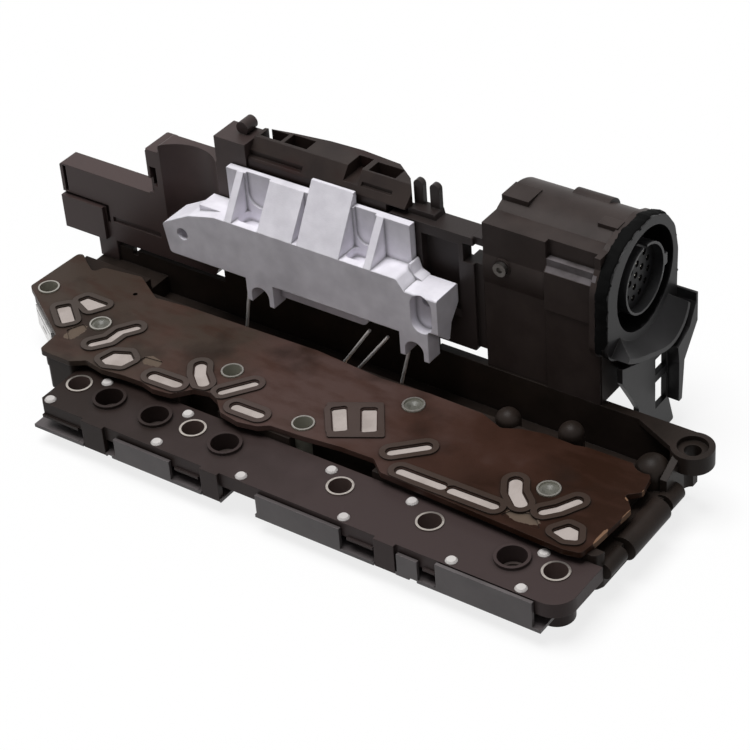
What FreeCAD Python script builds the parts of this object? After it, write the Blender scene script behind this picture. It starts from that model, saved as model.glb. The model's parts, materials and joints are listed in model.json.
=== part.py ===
import FreeCAD, Part
import math
import os

# Electro-hydraulic transmission control module. A moulded carrier holds seven solenoid valves under
# a filter plate, with a strip of pressure switches along its front. Behind it stands the electronics
# housing with its cast heat sink, and at the right the tower with the round connector.
# X is measured from the left end of the switch strip, Y from the front face of the strip cover
# and Z from the feet. The finished pieces are moved so that the origin is under their middle.

V = FreeCAD.Vector

# Levels above the feet
strip_cover_z = 8.5
deck_bottom = 9.0
strip_top = 24.0
deck_top = 28.0
rail_top = 36.0

# Clearances and common walls
fit = 0.05
seat_gap = 0.4
moulded_wall = 2.5

# Switch strip
strip_length = 288.5
strip_front = 2.2
strip_back = 34.3
strip_slab = 7.5
strip_corner_r = 11.0
sleeve_x = (8.5, 77.5, 161.0, 209.0, 273.0)
sleeve_y = 22.0
sleeve_r = 6.5
sleeve_bore_r = 5.4
sleeve_proud = 0.5
sleeve_boss_wall = 1.8
port_x = (29.2, 56.8, 98.0, 252.7)
port_y = 19.8
port_r = 6.7
port_collar_wall = 1.5
port_collar_h = 1.6
stake_front_y = 5.5
stake_front_x = (4.6, 69.3, 118.1, 174.7, 231.1, 266.0)
stake_back_y = 29.5
stake_back_x = (19.6, 68.7, 151.0, 194.6, 262.5)
stake_shank_r = 1.5
stake_head_r = 2.9
stake_head_h = 1.0

# Strip cover: front panels as left end, right end and top level
cover_wall = 1.7
cover_panels = ((47.0, 80.0, 20.4), (129.5, 175.5, 21.4), (205.8, 216.5, 20.4), (226.0, 274.5, 23.6))
snap_tabs = ((27.5, 40.5), (98.0, 108.0), (193.8, 204.5))
snap_tab_wall = 1.9
slot_bars = ((2.0, 24.0), (82.0, 95.7), (178.5, 192.5), (218.5, 225.0))
slot_bar_top = 17.2
slot_bar_h = 1.4
slot_sill = 10.4
cover_gap_x = (109.0, 128.5)
cover_gap_back = 12.0

# Switches under the ports
seal_h = 2.0
seal_lip = 1.4
disc_r = 5.2
disc_h = 0.8

# Solenoid deck
body_left = -60.0
body_back = 117.0
edge_left = (-59.4, 66.6)
edge_right = (-20.5, 41.0)
trough_left = -14.0
deck_back = 94.5
right_wall = 3.5
trough_floor = 3.0
rail_depth = 4.5
rail_t = 3.0
rear_wall = 3.5
rear_wall_low = 22.0
rear_left_top = 31.0
rear_mid_top = 42.0
rear_mid = (24.0, 150.0)
rear_notches = ((-36.0, -32.5, 28.0), (25.5, 28.5, 38.0), (52.0, 55.0, 33.0))
lower_inset = 3.6
side_step_x = 277.0
side_step_z = 21.0
front_recesses = ((60.0, 83.0), (124.0, 170.0))
recess_depth = 8.0
pod_spots = ((203.0, 95.5, 6.0), (233.0, 101.0, 6.0), (276.0, 98.5, 8.0))
pod_top = 34.5
ear_r = 10.0
ear_thickness = 9.0
ear_hole_r = 4.0
ear_recess_r = 7.2
ear_recess = 2.6
side_rolls = ((38.0, 52.0, 4.0), (55.0, 86.0, 6.0), (90.0, 101.0, 4.6))
roll_z = 18.0

# Solenoid valves
solenoid_x = (-27.0, 20.0, 48.0, 98.0, 136.0, 190.0, 219.0)
solenoid_y = 68.0
can_r = 11.5
can_wall = 0.9
can_bottom = 0.0
can_top = 22.5
flange_r = 13.0
flange_h = 1.2
pole_h = 2.0
snout_r = 4.2
snout_bore_r = 1.2
coil_inner_r = 5.0
coil_margin = 0.5
armature_fit = 0.06
armature_h = 14.0
armature_bore_r = 1.0
spring_r = 4.0
spring_w = 2.0
spring_wall = 0.5
spring_turns = 3
retainer_h = 1.2
retainer_margin = 4.0
retainer_screw_x = (-8.0, 73.0, 117.0, 164.0, 237.0)
screw_r = 1.5
screw_head_r = 2.8
screw_head_h = 1.8

# Filter plate
plate_h = 2.9
ferrule_r = 5.5
ferrule_wall = 0.9
ferrule_proud = 0.6
ferrule_spots = ((-50.9, 69.6), (-7.6, 58.2), (72.4, 59.6), (125.4, 43.8), (161.4, 80.4), (246.4, 60.0))
riveted = (1, 4, 5)
window_slots = (
    (((0.0, 43.0), (5.0, 49.5), (5.5, 57.5), (10.0, 64.0)), 4.4),
    (((42.5, 37.5), (56.0, 38.0)), 5.4),
    (((57.0, 55.0), (60.5, 50.0), (66.5, 45.0)), 5.6),
    (((78.5, 44.0), (87.5, 56.5)), 4.4),
    (((91.0, 38.2), (104.0, 38.5)), 5.0),
    (((172.5, 46.5), (184.0, 57.5)), 4.6),
    (((183.5, 37.5), (205.0, 37.7)), 4.6),
    (((210.5, 37.7), (232.0, 38.0)), 4.6),
    (((231.5, 56.5), (235.0, 50.5), (241.0, 45.5)), 6.0),
    (((252.5, 45.5), (257.0, 50.5), (261.5, 59.0)), 4.4),
)
window_shapes = (
    ((-36.0, 58.0), (-31.5, 63.0), (-20.0, 53.5), (-24.0, 48.5)),
    ((-30.0, 68.0), (-28.0, 72.5), (-14.0, 72.5), (-19.5, 63.5)),
    ((11.5, 35.5), (13.5, 43.0), (21.0, 46.5), (26.0, 43.0), (24.0, 36.0), (16.5, 33.5)),
    ((130.5, 59.0), (135.5, 63.5), (146.0, 49.5), (141.0, 45.5)),
    ((142.5, 66.0), (148.5, 69.5), (158.0, 55.5), (152.5, 51.5)),
    ((262.0, 36.5), (266.5, 43.5), (271.5, 43.0), (275.0, 36.5), (270.0, 34.5)),
)
shared_frame = ((126.0, 61.5), (149.0, 74.5), (164.0, 53.5), (141.0, 40.5))
long_oval = (((183.5, 37.5), (232.0, 38.0)), 4.6)
window_corner_r = 1.2
bead_gap = 0.6
bead_w = 2.8
bead_h = 0.8
mesh_h = 0.8
mesh_sink = 0.7

# Heat sink: front face, top plane and the sloping fins above it
sink_left = 5.0
sink_right = 165.0
sink_front = 98.0
sink_back = 115.5
sink_bottom = 55.0
sink_top = 84.0
fin_wall_top = 105.0
fin_wall = 4.0
fin_centre_top = 111.5
web_t = 4.0
sink_bore = (17.0, 68.0)
boss_slot_x = 156.0
boss_slot_z = (64.0, 73.0)
boss_slot_r = 5.8
boss_slot_depth = 5.0
boss_bore = (156.5, 73.5)
sink_ears = ((54.0, 70.0), (143.0, 159.0))
ear_drop = 12.5
ear_arch_r = 5.2
lower_band = (66.0, 121.0)

# Electronics housing
wall_front = 116.0
wall_back = 128.0
wing_left = -77.0
wing_right = -17.0
wing_bottom = 34.0
wing_top = 71.0
wall_bottom = 42.0
wall_top = 103.5
housing_right = 174.0
shoulder_top = 108.5
latch_top = 96.5
latch_depth = 18.0
scoop_x = 10.0
scoop_y = 100.0
scoop_r = 24.0
scoop_bottom = 46.0
scoop_rim = 101.0
band_right = 19.0
clip_block = (28.5, 46.9)
clip_block_top = 117.0
finger_x = (139.5, 148.3)
finger_w = 5.0
finger_h = 12.5
sight_window = (168.5, 91.5, 101.5)
leg_x = -57.0
leg_w = 12.0
peg_r = 2.4
pocket_left = 40.0
pocket_right = 141.0
pocket_bottom = 57.0
pocket_top = 102.0
pocket_floor = 124.5
board_setback = 4.0
board_t = 1.6
board_gap = 0.8
board_screw_inset = 4.0
pad_t = 0.8
cable_z = (80.0, 90.0)
cable_t = 0.3

# Top cover
cover_left = 47.0
cover_right = 137.0
cover_front = 117.0
cover_back = 139.0
cover_top = 118.0
cover_bottom = 98.5
cover_lip_top = 109.0
cover_slope_y = 124.5
finger_land_x = (126.5, 138.5)
cover_wells = (
    (49.0, 61.0, 126.0, 133.0, 8.0), (63.0, 76.0, 126.0, 134.0, 8.0),
    (101.0, 109.0, 119.0, 134.0, 6.0), (112.0, 127.0, 125.0, 133.0, 8.0),
)
cover_steps = ((47.0, 78.0, 110.0, 3.0), (111.0, 128.0, 112.0, 4.0))

# Connector tower
tower_left = 178.0
tower_right = 239.0
tower_front = 118.0
tower_back = 150.0
ridge_top = 114.5
barrel_y = 145.5
barrel_z = 90.5
barrel_r = 28.5
gasket_t = 3.6
gasket_inset = 1.0
face_corner_r = 12.0
face_t = 3.0
socket_r = 25.0
socket_depth = 15.0
shroud_r = 17.2
shroud_wall = 1.2
pin_r = 0.8
pin_well_r = 1.6
pin_well = 4.0
pin_rings = ((0.0, 1), (5.6, 6), (11.2, 12))
bracket_front_x = 249.0
skirt_front_x = 255.0
fin_back = 177.0

barrel_step_x = 211.0
cup_wall = 1.2
cup_floor = 2.0
insert_setback = 5.0
chin_r = 28.5
chin_reach = 8.5
chin_lip = 2.5
cable_end_x = 221.0
frame_screw_x = 188.5
frame_screw_z = 94.0
screw_seat_y = 116.8
step_proud = 2.0
ledge_top = 106.0
face_points = (
    (112.0, 66.0), (113.0, 100.0), (118.0, 109.0), (126.0, 115.5), (137.0, 119.0), (152.0, 119.5), (164.0, 114.5),
    (172.0, 104.0), (175.0, 90.0), (174.0, 64.0), (168.0, 54.5), (158.7, 49.8), (146.0, 51.0), (133.6, 55.5),
    (122.0, 60.5),
)
chin_points = (
    (115.0, 66.0), (123.0, 61.3), (134.0, 56.8), (146.2, 52.3), (158.4, 51.2), (166.8, 55.8), (171.5, 64.5),
)

# Parts on the control board: left, bottom, width, height, thickness
hot_chips = ((54.0, 62.0, 14.0, 14.0, 2.0), (84.0, 64.0, 18.0, 18.0, 2.2), (114.0, 62.0, 12.0, 16.0, 2.0))
cool_chips = ((52.0, 86.0, 9.0, 7.0, 1.5), (70.0, 88.0, 6.0, 6.0, 1.2), (108.0, 88.0, 10.0, 5.0, 1.5))
clip_t = 1.6
clip_span = (0.2, 0.8)

# Bare leads: X at the top, X at the bottom, level of the top
lead_runs = ((52.6, 46.2, 49.0), (123.0, 100.3, 46.0), (133.5, 108.5, 46.0), (144.8, 137.0, 41.6))
lead_y = 102.0
lead_r = 0.8


def lift(plane, u, v, w):
    """Turn a point of a flat outline into space: u and v lie in the plane, w is its level."""
    if plane == "xy":
        return V(u, v, w)
    if plane == "yz":
        return V(w, u, v)
    return V(u, w, v)


def box(x0, x1, y0, y1, z0, z1):
    return Part.makeBox(x1 - x0, y1 - y0, z1 - z0, V(x0, y0, z0))


def post(x, y, z0, z1, r):
    return Part.makeCylinder(r, z1 - z0, V(x, y, z0))


def bar_x(y, z, x0, x1, r):
    return Part.makeCylinder(r, x1 - x0, V(x0, y, z), V(1, 0, 0))


def bar_y(x, z, y0, y1, r):
    return Part.makeCylinder(r, y1 - y0, V(x, y0, z), V(0, 1, 0))


def pipe(x, y, z0, z1, r_out, r_in):
    return post(x, y, z0, z1, r_out).cut(post(x, y, z0, z1, r_in))


def outline(points, r, plane="xy", level=0.0):
    """Closed wire through the points, each corner rounded by r as far as its sides allow."""
    count = len(points)
    ends = []
    for i in range(count):
        before = V(*points[i - 1], 0)
        corner = V(*points[i], 0)
        after = V(*points[(i + 1) % count], 0)
        back = before - corner
        ahead = after - corner
        half = back.getAngle(ahead) / 2
        reach = min(r / math.tan(half), 0.45 * back.Length, 0.45 * ahead.Length) if r > 0 else 0.0
        back.normalize()
        ahead.normalize()
        start = corner + back * reach
        stop = corner + ahead * reach
        if reach > 1e-6 and half < math.pi / 2 - 1e-3:
            radius = reach * math.tan(half)
            inward = back + ahead
            inward.normalize()
            middle = corner + inward * (radius / math.sin(half) - radius)
            ends.append((start, middle, stop))
        else:
            ends.append((corner, None, corner))
    edges = []
    for i in range(count):
        start, middle, stop = [p and lift(plane, p.x, p.y, level) for p in ends[i]]
        if middle:
            edges.append(Part.Arc(start, middle, stop).toShape())
        following = ends[(i + 1) % count][0]
        following = lift(plane, following.x, following.y, level)
        if (following - stop).Length > 1e-6:
            edges.append(Part.makeLine(stop, following))
    return Part.Wire(edges)


def prism(points, r, low, high, plane="xy"):
    """Solid of a rounded outline, from one level of its plane to another."""
    face = Part.Face(outline(points, r, plane, low))
    return face.extrude(lift(plane, 0, 0, high - low))


def grown_prism(points, r, grow, low, high):
    """Solid of a rounded outline that is grown all round by a margin."""
    face = Part.Face(outline(points, r, "xy", low))
    if grow:
        face = face.makeOffset2D(grow)
    return face.extrude(V(0, 0, high - low))


def stadium(a, b, width, low, high):
    """Upright solid of a slot with round ends, between two points."""
    along = V(b[0] - a[0], b[1] - a[1], 0)
    side = V(-along.y, along.x, 0)
    side.normalize()
    side = side * (width / 2)
    along.normalize()
    along = along * (width / 2)
    start = V(a[0], a[1], low)
    stop = V(b[0], b[1], low)
    edges = [
        Part.makeLine(start + side, stop + side),
        Part.Arc(stop + side, stop + along, stop - side).toShape(),
        Part.makeLine(stop - side, start - side),
        Part.Arc(start - side, start - along, start + side).toShape(),
    ]
    return Part.Face(Part.Wire(edges)).extrude(V(0, 0, high - low))


def chain(points, width, low, high):
    """Bent slot: a row of stadiums along the points."""
    return fuse([stadium(a, b, width, low, high) for a, b in zip(points, points[1:])])


def fuse(shapes):
    whole = shapes[0]
    if len(shapes) > 1:
        whole = whole.multiFuse(shapes[1:])
    return whole.removeSplitter()


def cut(shape, tools):
    return shape.cut(Part.makeCompound(tools)).removeSplitter()


# Values that several pieces share
board_front = wall_front + board_setback
cup_r = socket_r + cup_wall
well_floor = tower_right + gasket_t + face_t - socket_depth
insert_front = tower_right + gasket_t + face_t - insert_setback
right_end = strip_length
body_right = strip_length - 2.0
plate_top = deck_top + plate_h
strip_under = strip_top - strip_slab
cover_floor_top = strip_cover_z + cover_wall
boss_r = sleeve_r + sleeve_boss_wall
seal_top = strip_under - fit
seal_r = port_r + seal_lip
disc_top = seal_top - seal_h - fit
ear_x = right_end
ear_y = body_back - 5.0
face_x = tower_right + gasket_t
face_front = face_x + face_t
armature_bottom = can_bottom + can_wall
armature_r = coil_inner_r - armature_fit
pole_bottom = can_top - pole_h
retainer_top = deck_bottom
stake_spots = [(x, stake_front_y) for x in stake_front_x] + [(x, stake_back_y) for x in stake_back_x]
plate_points = (
    (body_left, 66.0), (-21.0, 40.5), (-20.0, 27.0), (-1.0, 26.8), (6.0, 31.5), (17.0, 29.5), (28.0, 31.0),
    (40.0, 31.5), (48.0, 29.6), (58.0, 31.0), (65.0, 39.0), (73.0, 41.0), (80.0, 38.0), (87.0, 31.5),
    (98.0, 29.6), (108.0, 31.5), (113.0, 35.0), (130.0, 36.0), (150.0, 38.5), (168.0, 39.0), (176.0, 32.5),
    (right_end - 16.5, 29.0), (right_end - 8.5, 30.5), (right_end - 6.5, 40.0), (right_end - 4.5, 66.0),
    (right_end - 9.0, 71.0), (right_end - 12.0, 73.0), (right_end - 6.0, 78.5), (right_end - 8.0, 89.0),
    (right_end - 13.0, 94.0), (246.0, 93.5), (240.0, 92.0), (225.0, 92.5), (213.0, 90.0), (205.0, 86.0),
    (192.0, 91.0), (163.0, 91.5), (137.0, 90.0), (98.0, 93.0), (41.5, 91.5), (21.0, 91.0), (2.0, 89.0),
    (-16.0, 100.0), (-38.0, 97.0), (-40.5, 91.0), (-49.0, 96.5), (-57.7, 103.0),
)


def deck_block():
    """Solenoid deck with its trough behind the valves, the wall round it and an undercut left side."""
    corner = 3.0
    right = ((body_right - 2, strip_back), (body_right, strip_back + 4), (body_right, body_back + rear_wall))
    back = ((body_left + 4, body_back + rear_wall), (body_left + 4, 102.0))
    front = ((-18.5, 28.0), (-fit, 28.0), (-fit, strip_back))
    inset = lower_inset
    upper = prism((edge_left, edge_right) + front + right + back, corner, rear_wall_low, deck_top)
    lower = prism(((edge_left[0] + inset, edge_left[1] + inset), (edge_right[0] + inset, edge_right[1] + inset))
                  + front + right + back, corner, deck_bottom, rear_wall_low)
    trough = box(trough_left, body_right - right_wall, deck_back, body_back,
                 deck_bottom + trough_floor, rail_top)
    low_edge = box(body_left, trough_left, deck_back + 9.5, body_back + rear_wall + 1, rear_wall_low, rail_top)
    step = box(side_step_x, body_right + 1, strip_back + 5, deck_back, side_step_z, deck_top + 1)
    recesses = [box(a, b, strip_back - 1, strip_back + recess_depth, deck_bottom + trough_floor, rail_top)
                for a, b in front_recesses]
    strip_room = box(-fit, right_end, strip_front, strip_back, strip_under - fit, deck_top + 1)
    return cut(upper.fuse(lower), [trough, low_edge, step, strip_room] + recesses)


def rail():
    """Rear wall with its three levels and sight notches, its flange, and the ear at the right end."""
    back = body_back + rear_wall
    left, right = rear_mid
    wall = fuse([
        box(leg_x + leg_w + 0.5, left + 1, body_back, back, deck_bottom, rear_left_top),
        box(left, right, body_back, back, deck_bottom, rear_mid_top),
        box(right - 1, body_right, body_back, back, deck_bottom, rail_top),
    ])
    wall = cut(wall, [box(a, b, body_back - 1, back + 1, z, rear_mid_top + 1) for a, b, z in rear_notches])
    flange = box(right, body_right, body_back, body_back + rail_depth, rail_top - rail_t, rail_top)
    corner = ((right_end - 30.0, body_back), (ear_x, ear_y - ear_r + 0.8), (ear_x, body_back))
    gusset = prism(corner, 0, rail_top - rail_t, rail_top)
    side = box(body_right - right_wall, body_right, deck_back - 2, body_back + 1, deck_bottom, rail_top)
    side = cut(side, [prism(((deck_back - 3, deck_top), (body_back - 8, rail_top + 1), (deck_back - 3, rail_top + 1)),
                            0, body_right - right_wall - 1, body_right + 1, "yz")])
    ear = post(ear_x, ear_y, rail_top - ear_thickness, rail_top, ear_r)
    return [wall, flange, gusset, side, ear]


def underside_pockets():
    """Lightening pockets in the deck's underside, clear of the valves and the ferrules."""
    pockets = []
    depth = deck_top - 5.0
    for x0, x1 in ((9, 27), (30, 56), (88, 114), (176, 200), (203, 227), (230, 240), (252, 272)):
        pockets.append(box(x0, x1, strip_back + 10, strip_back + 18, deck_bottom - 1, depth))
    for x0, x1 in ((-6, 20), (24, 48), (52, 76), (80, 112), (116, 146), (176, 204), (208, 236), (240, 272)):
        pockets.append(box(x0, x1, deck_back - 10, deck_back - 3, deck_bottom - 1, depth))
    return pockets


def switch_strip():
    """Moulded slab that holds the pressure switches, with its sleeve bosses and port collars."""
    strip_points = (
        (0.0, strip_front + 2.5), (2.5, strip_front), (right_end, strip_front), (right_end, strip_back),
        (0.0, strip_back),
    )
    corner = box(right_end - strip_corner_r, right_end + 1, strip_front - 1, strip_front + strip_corner_r,
                 strip_under - 1, strip_top + 1)
    corner = corner.cut(post(right_end - strip_corner_r, strip_front + strip_corner_r,
                             strip_under - 1, strip_top + 1, strip_corner_r))
    solids = [prism(strip_points, 0, strip_under, strip_top).cut(corner)]
    solids += [post(x, sleeve_y, 0, strip_top, boss_r) for x in sleeve_x]
    solids += [post(x, port_y, strip_under, strip_top + port_collar_h, port_r + port_collar_wall) for x in port_x]
    for a, b in snap_tabs:
        solids.append(box(a, b, strip_front - snap_tab_wall, strip_front + 1, strip_cover_z, strip_top))
    for a, b in slot_bars:
        solids.append(box(a, b, strip_front - 1.0, strip_front + 1, slot_bar_top - slot_bar_h, slot_bar_top))
    tools = [post(x, sleeve_y, -1, strip_top + 1, sleeve_r) for x in sleeve_x]
    tools += [post(x, port_y, strip_under - 1, strip_top + port_collar_h + 1, port_r) for x in port_x]
    tools += [post(x, y, strip_under - 1, strip_top + 1, stake_shank_r) for x, y in stake_spots]
    return cut(fuse(solids), tools)


def carrier():
    """Solenoid deck with its rear wall, ear, pods and side rolls."""
    solids = [deck_block()] + rail()
    for x, y, r in pod_spots:
        dome = Part.makeSphere(r, V(x, y, pod_top - r))
        solids.append(post(x, y, deck_bottom, pod_top - r, r).fuse(dome))
    for y0, y1, r in side_rolls:
        solids.append(bar_y(body_right, roll_z, y0, y1, r))
    body = fuse(solids)
    tools = underside_pockets()
    tools += [post(x, y, deck_bottom - 1, deck_top + 1, ferrule_r) for x, y in ferrule_spots]
    tools.append(post(ear_x, ear_y, rail_top - ear_thickness - 1, rail_top + 1, ear_hole_r))
    tools.append(post(ear_x, ear_y, deck_bottom - 1, rail_top - ear_thickness - 1, ear_hole_r + 2 * seat_gap))
    tools.append(post(ear_x, ear_y, rail_top - ear_recess, rail_top + 1, ear_recess_r))
    for x in solenoid_x:
        tools.append(post(x, solenoid_y, deck_bottom - 1, deck_bottom + flange_h + fit, flange_r + fit))
        tools.append(post(x, solenoid_y, deck_bottom - 1, can_top + fit, can_r + fit))
        tools.append(post(x, solenoid_y, can_top - 1, deck_top + 1, snout_r + fit))
    tools += [post(x, solenoid_y, deck_bottom - 1, deck_bottom + 8, screw_r) for x in retainer_screw_x]
    return cut(body, tools)


def strip_cover():
    """Cover snapped under the switch strip: a floor and the panels of its front skirt."""
    front_tabs = [box(a, b, 0, cover_wall, strip_cover_z, top) for a, b, top in cover_panels]
    lips = [box(a, b, 0, cover_wall, strip_cover_z, slot_sill) for a, b in slot_bars]
    floor = box(2.0, right_end - 10.0, 0, strip_back - 1.5, strip_cover_z, cover_floor_top)
    tongue = box(-3.3, 4.0, 0, 9.0, strip_cover_z, cover_floor_top)
    rings = [pipe(x, port_y, strip_cover_z, disc_top - disc_h - fit, seal_r, seal_r - 2.5) for x in port_x]
    body = fuse([floor, tongue] + front_tabs + lips + rings)
    tools = [post(x, sleeve_y, strip_cover_z - 1, cover_floor_top + 1, boss_r + seat_gap) for x in sleeve_x]
    tools += [box(a - seat_gap, b + seat_gap, -1, strip_front + 1 + seat_gap, strip_cover_z - 1, strip_top)
              for a, b in snap_tabs]
    tools += [box(a, b, -1, strip_front + 2, strip_cover_z - 1, strip_cover_z + 1.2)
              for a, b in ((41.5, 44.5), (212.0, 216.0))]
    tools.append(box(*cover_gap_x, -1, cover_gap_back, strip_cover_z - 1, strip_top))
    return cut(body, tools)


def heat_stake(x, y):
    head = Part.makeCone(stake_head_r, stake_head_r * 0.72, stake_head_h, V(x, y, strip_top))
    return post(x, y, strip_under, strip_top, stake_shank_r - fit).fuse(head)


def strip_sleeve(x):
    return pipe(x, sleeve_y, 0, strip_top + sleeve_proud, sleeve_r - fit, sleeve_bore_r)


def switch_seal(x):
    """Rubber diaphragm with a thick rim, under a pressure port."""
    rim = pipe(x, port_y, seal_top - seal_h, seal_top, seal_r, disc_r)
    return rim.fuse(post(x, port_y, seal_top - seal_h, seal_top - seal_h / 2, disc_r + 0.1))


def switch_disc(x):
    dish = Part.makeCone(seal_r - 1.5, disc_r, disc_h, V(x, port_y, disc_top - disc_h))
    return dish


def solenoid_can(x):
    """Deep-drawn steel cup with a flange that the retainer holds up against the carrier."""
    cup = post(x, solenoid_y, can_bottom, can_top, can_r)
    flange = post(x, solenoid_y, deck_bottom, deck_bottom + flange_h, flange_r)
    hollow = post(x, solenoid_y, can_bottom + can_wall, can_top + 1, can_r - can_wall)
    return cup.fuse(flange).cut(hollow)


def solenoid_coil(x):
    outer = can_r - can_wall - fit
    return pipe(x, solenoid_y, armature_bottom, pole_bottom - fit, outer, coil_inner_r)


def valve_seat(x):
    """Pole plate that closes the can, with the snout that leads oil up to the filter plate."""
    disc = post(x, solenoid_y, pole_bottom, can_top, can_r - can_wall - fit)
    snout = post(x, solenoid_y, can_top, deck_top - fit, snout_r)
    return disc.fuse(snout).cut(post(x, solenoid_y, pole_bottom - 1, deck_top, snout_bore_r))


def armature(x):
    solid = post(x, solenoid_y, armature_bottom, armature_bottom + armature_h, armature_r)
    return solid.cut(post(x, solenoid_y, armature_bottom + armature_h - 6, armature_bottom + armature_h + 1,
                          armature_bore_r))


def return_spring(x):
    """Stack of ring springs, joined in turn at their outer and inner edges."""
    low = armature_bottom + armature_h
    step = (pole_bottom - low - spring_wall) / spring_turns
    inner_r = spring_r - spring_w
    rings = [pipe(x, solenoid_y, low + i * step, low + i * step + spring_wall, spring_r, inner_r)
             for i in range(spring_turns + 1)]
    for i in range(spring_turns):
        r = spring_r if i % 2 else inner_r + spring_wall
        rings.append(pipe(x, solenoid_y, low + i * step, low + (i + 1) * step + spring_wall, r, r - spring_wall))
    return fuse(rings)


def valve_retainer():
    """Steel strip that holds the can flanges up against the carrier."""
    half = flange_r + retainer_margin - 2
    left = solenoid_x[0] - half
    right = retainer_screw_x[-1] + 6
    strip = prism(((left, solenoid_y - half), (right, solenoid_y - half), (right, solenoid_y + half),
                   (left, solenoid_y + half)), 4.0, retainer_top - retainer_h, retainer_top)
    tools = [post(x, solenoid_y, 0, deck_bottom + 1, can_r + seat_gap) for x in solenoid_x]
    tools += [post(x, solenoid_y, 0, deck_bottom + 1, screw_r + fit) for x in retainer_screw_x]
    tools += [post(x, y, 0, deck_bottom + 1, ferrule_r + seat_gap) for x, y in ferrule_spots]
    return cut(strip, tools)


def retainer_screw(x):
    shank = post(x, solenoid_y, retainer_top - retainer_h, deck_bottom + 7.5, screw_r - fit)
    bottom = retainer_top - retainer_h
    return shank.fuse(post(x, solenoid_y, bottom - screw_head_h, bottom, screw_head_r))


def windows(grow, low, high):
    """Solids of every filter window, grown by a margin."""
    solids = [chain(points, width + 2 * grow, low, high) for points, width in window_slots]
    solids += [grown_prism(points, window_corner_r, grow, low, high) for points in window_shapes]
    return solids


def filter_plate():
    body = prism(plate_points, 2.5, deck_top, plate_top)
    tools = windows(0, deck_top - 1, plate_top + 1)
    tools += [post(x, y, deck_top - 1, plate_top + 1, ferrule_r) for x, y in ferrule_spots]
    tools += windows(0.8, plate_top - mesh_sink - mesh_h, plate_top - mesh_sink)
    step = plate_top - 0.5
    tools.append(prism(((-19, 46), (-15, 54), (-11, 52), (-11, 39)), 1.0, step, plate_top + 1))
    tools.append(prism(((28, 44), (29, 48), (39, 49), (40, 44)), 1.0, step, plate_top + 1))
    tools.append(prism(((237, 34.5), (240, 40), (250, 42.5), (258, 34.5)), 1.0, step, plate_top + 1))
    tools.append(post(-9.0, 86.5, deck_top - 1, plate_top + 1, 1.2))
    tools += [post(x, y, deck_top - 1, plate_top + 1, r + seat_gap) for x, y, r in pod_spots]
    return cut(body, tools)


def filter_screens():
    grow = 0.8 - fit
    return windows(grow, plate_top - mesh_sink - mesh_h + fit, plate_top - mesh_sink - fit)


def plate_seals():
    """Raised rubber beads round the filter windows, joined where the windows lie close."""
    low = plate_top
    high = plate_top + bead_h
    outer = fuse(windows(bead_gap + bead_w, low, high) + [
        chain(long_oval[0], long_oval[1] + 2 * (bead_gap + bead_w), low, high),
        grown_prism(shared_frame, window_corner_r, 0, low, high),
    ])
    plate_area = prism(plate_points, 2.5, low, high)
    tools = windows(bead_gap, low - 1, high + 1)
    tools += [post(x, y, low - 1, high + 1, ferrule_r + seat_gap) for x, y in ferrule_spots]
    return cut(outer.common(plate_area), tools).Solids


def plate_ferrule(x, y):
    return pipe(x, y, deck_bottom, plate_top + ferrule_proud, ferrule_r - fit, ferrule_r - ferrule_wall)


def plate_rivet(x, y):
    r = ferrule_r - ferrule_wall - fit
    solid = post(x, y, deck_bottom, plate_top - 0.3, r)
    return solid.cut(Part.makeCone(r * 0.35, r * 0.75, 1.2, V(x, y, plate_top - 1.4)))


def edge_clip():
    """Pale retaining clip on the slanting left side of the carrier."""
    start = V(edge_left[0], edge_left[1], 0)
    run = V(edge_right[0], edge_right[1], 0) - start
    out = V(run.y, -run.x, 0)
    out.normalize()
    near = out * fit
    far = out * clip_t
    low, high = clip_span
    corners = [start + run * low + near, start + run * high + near, start + run * high + far,
               start + run * low + far]
    return prism([(p.x, p.y) for p in corners], 0, deck_bottom + 5, deck_top - 2)


def sloped(y_top, z_top, x0, x1):
    """Fin that rises from the front edge of the heat sink's top to a point further back."""
    low = sink_top - 1
    return prism(((sink_front, low), (sink_back, low), (sink_back, z_top), (y_top, z_top),
                  (sink_front, sink_top)), 0, x0, x1, "yz")


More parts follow.
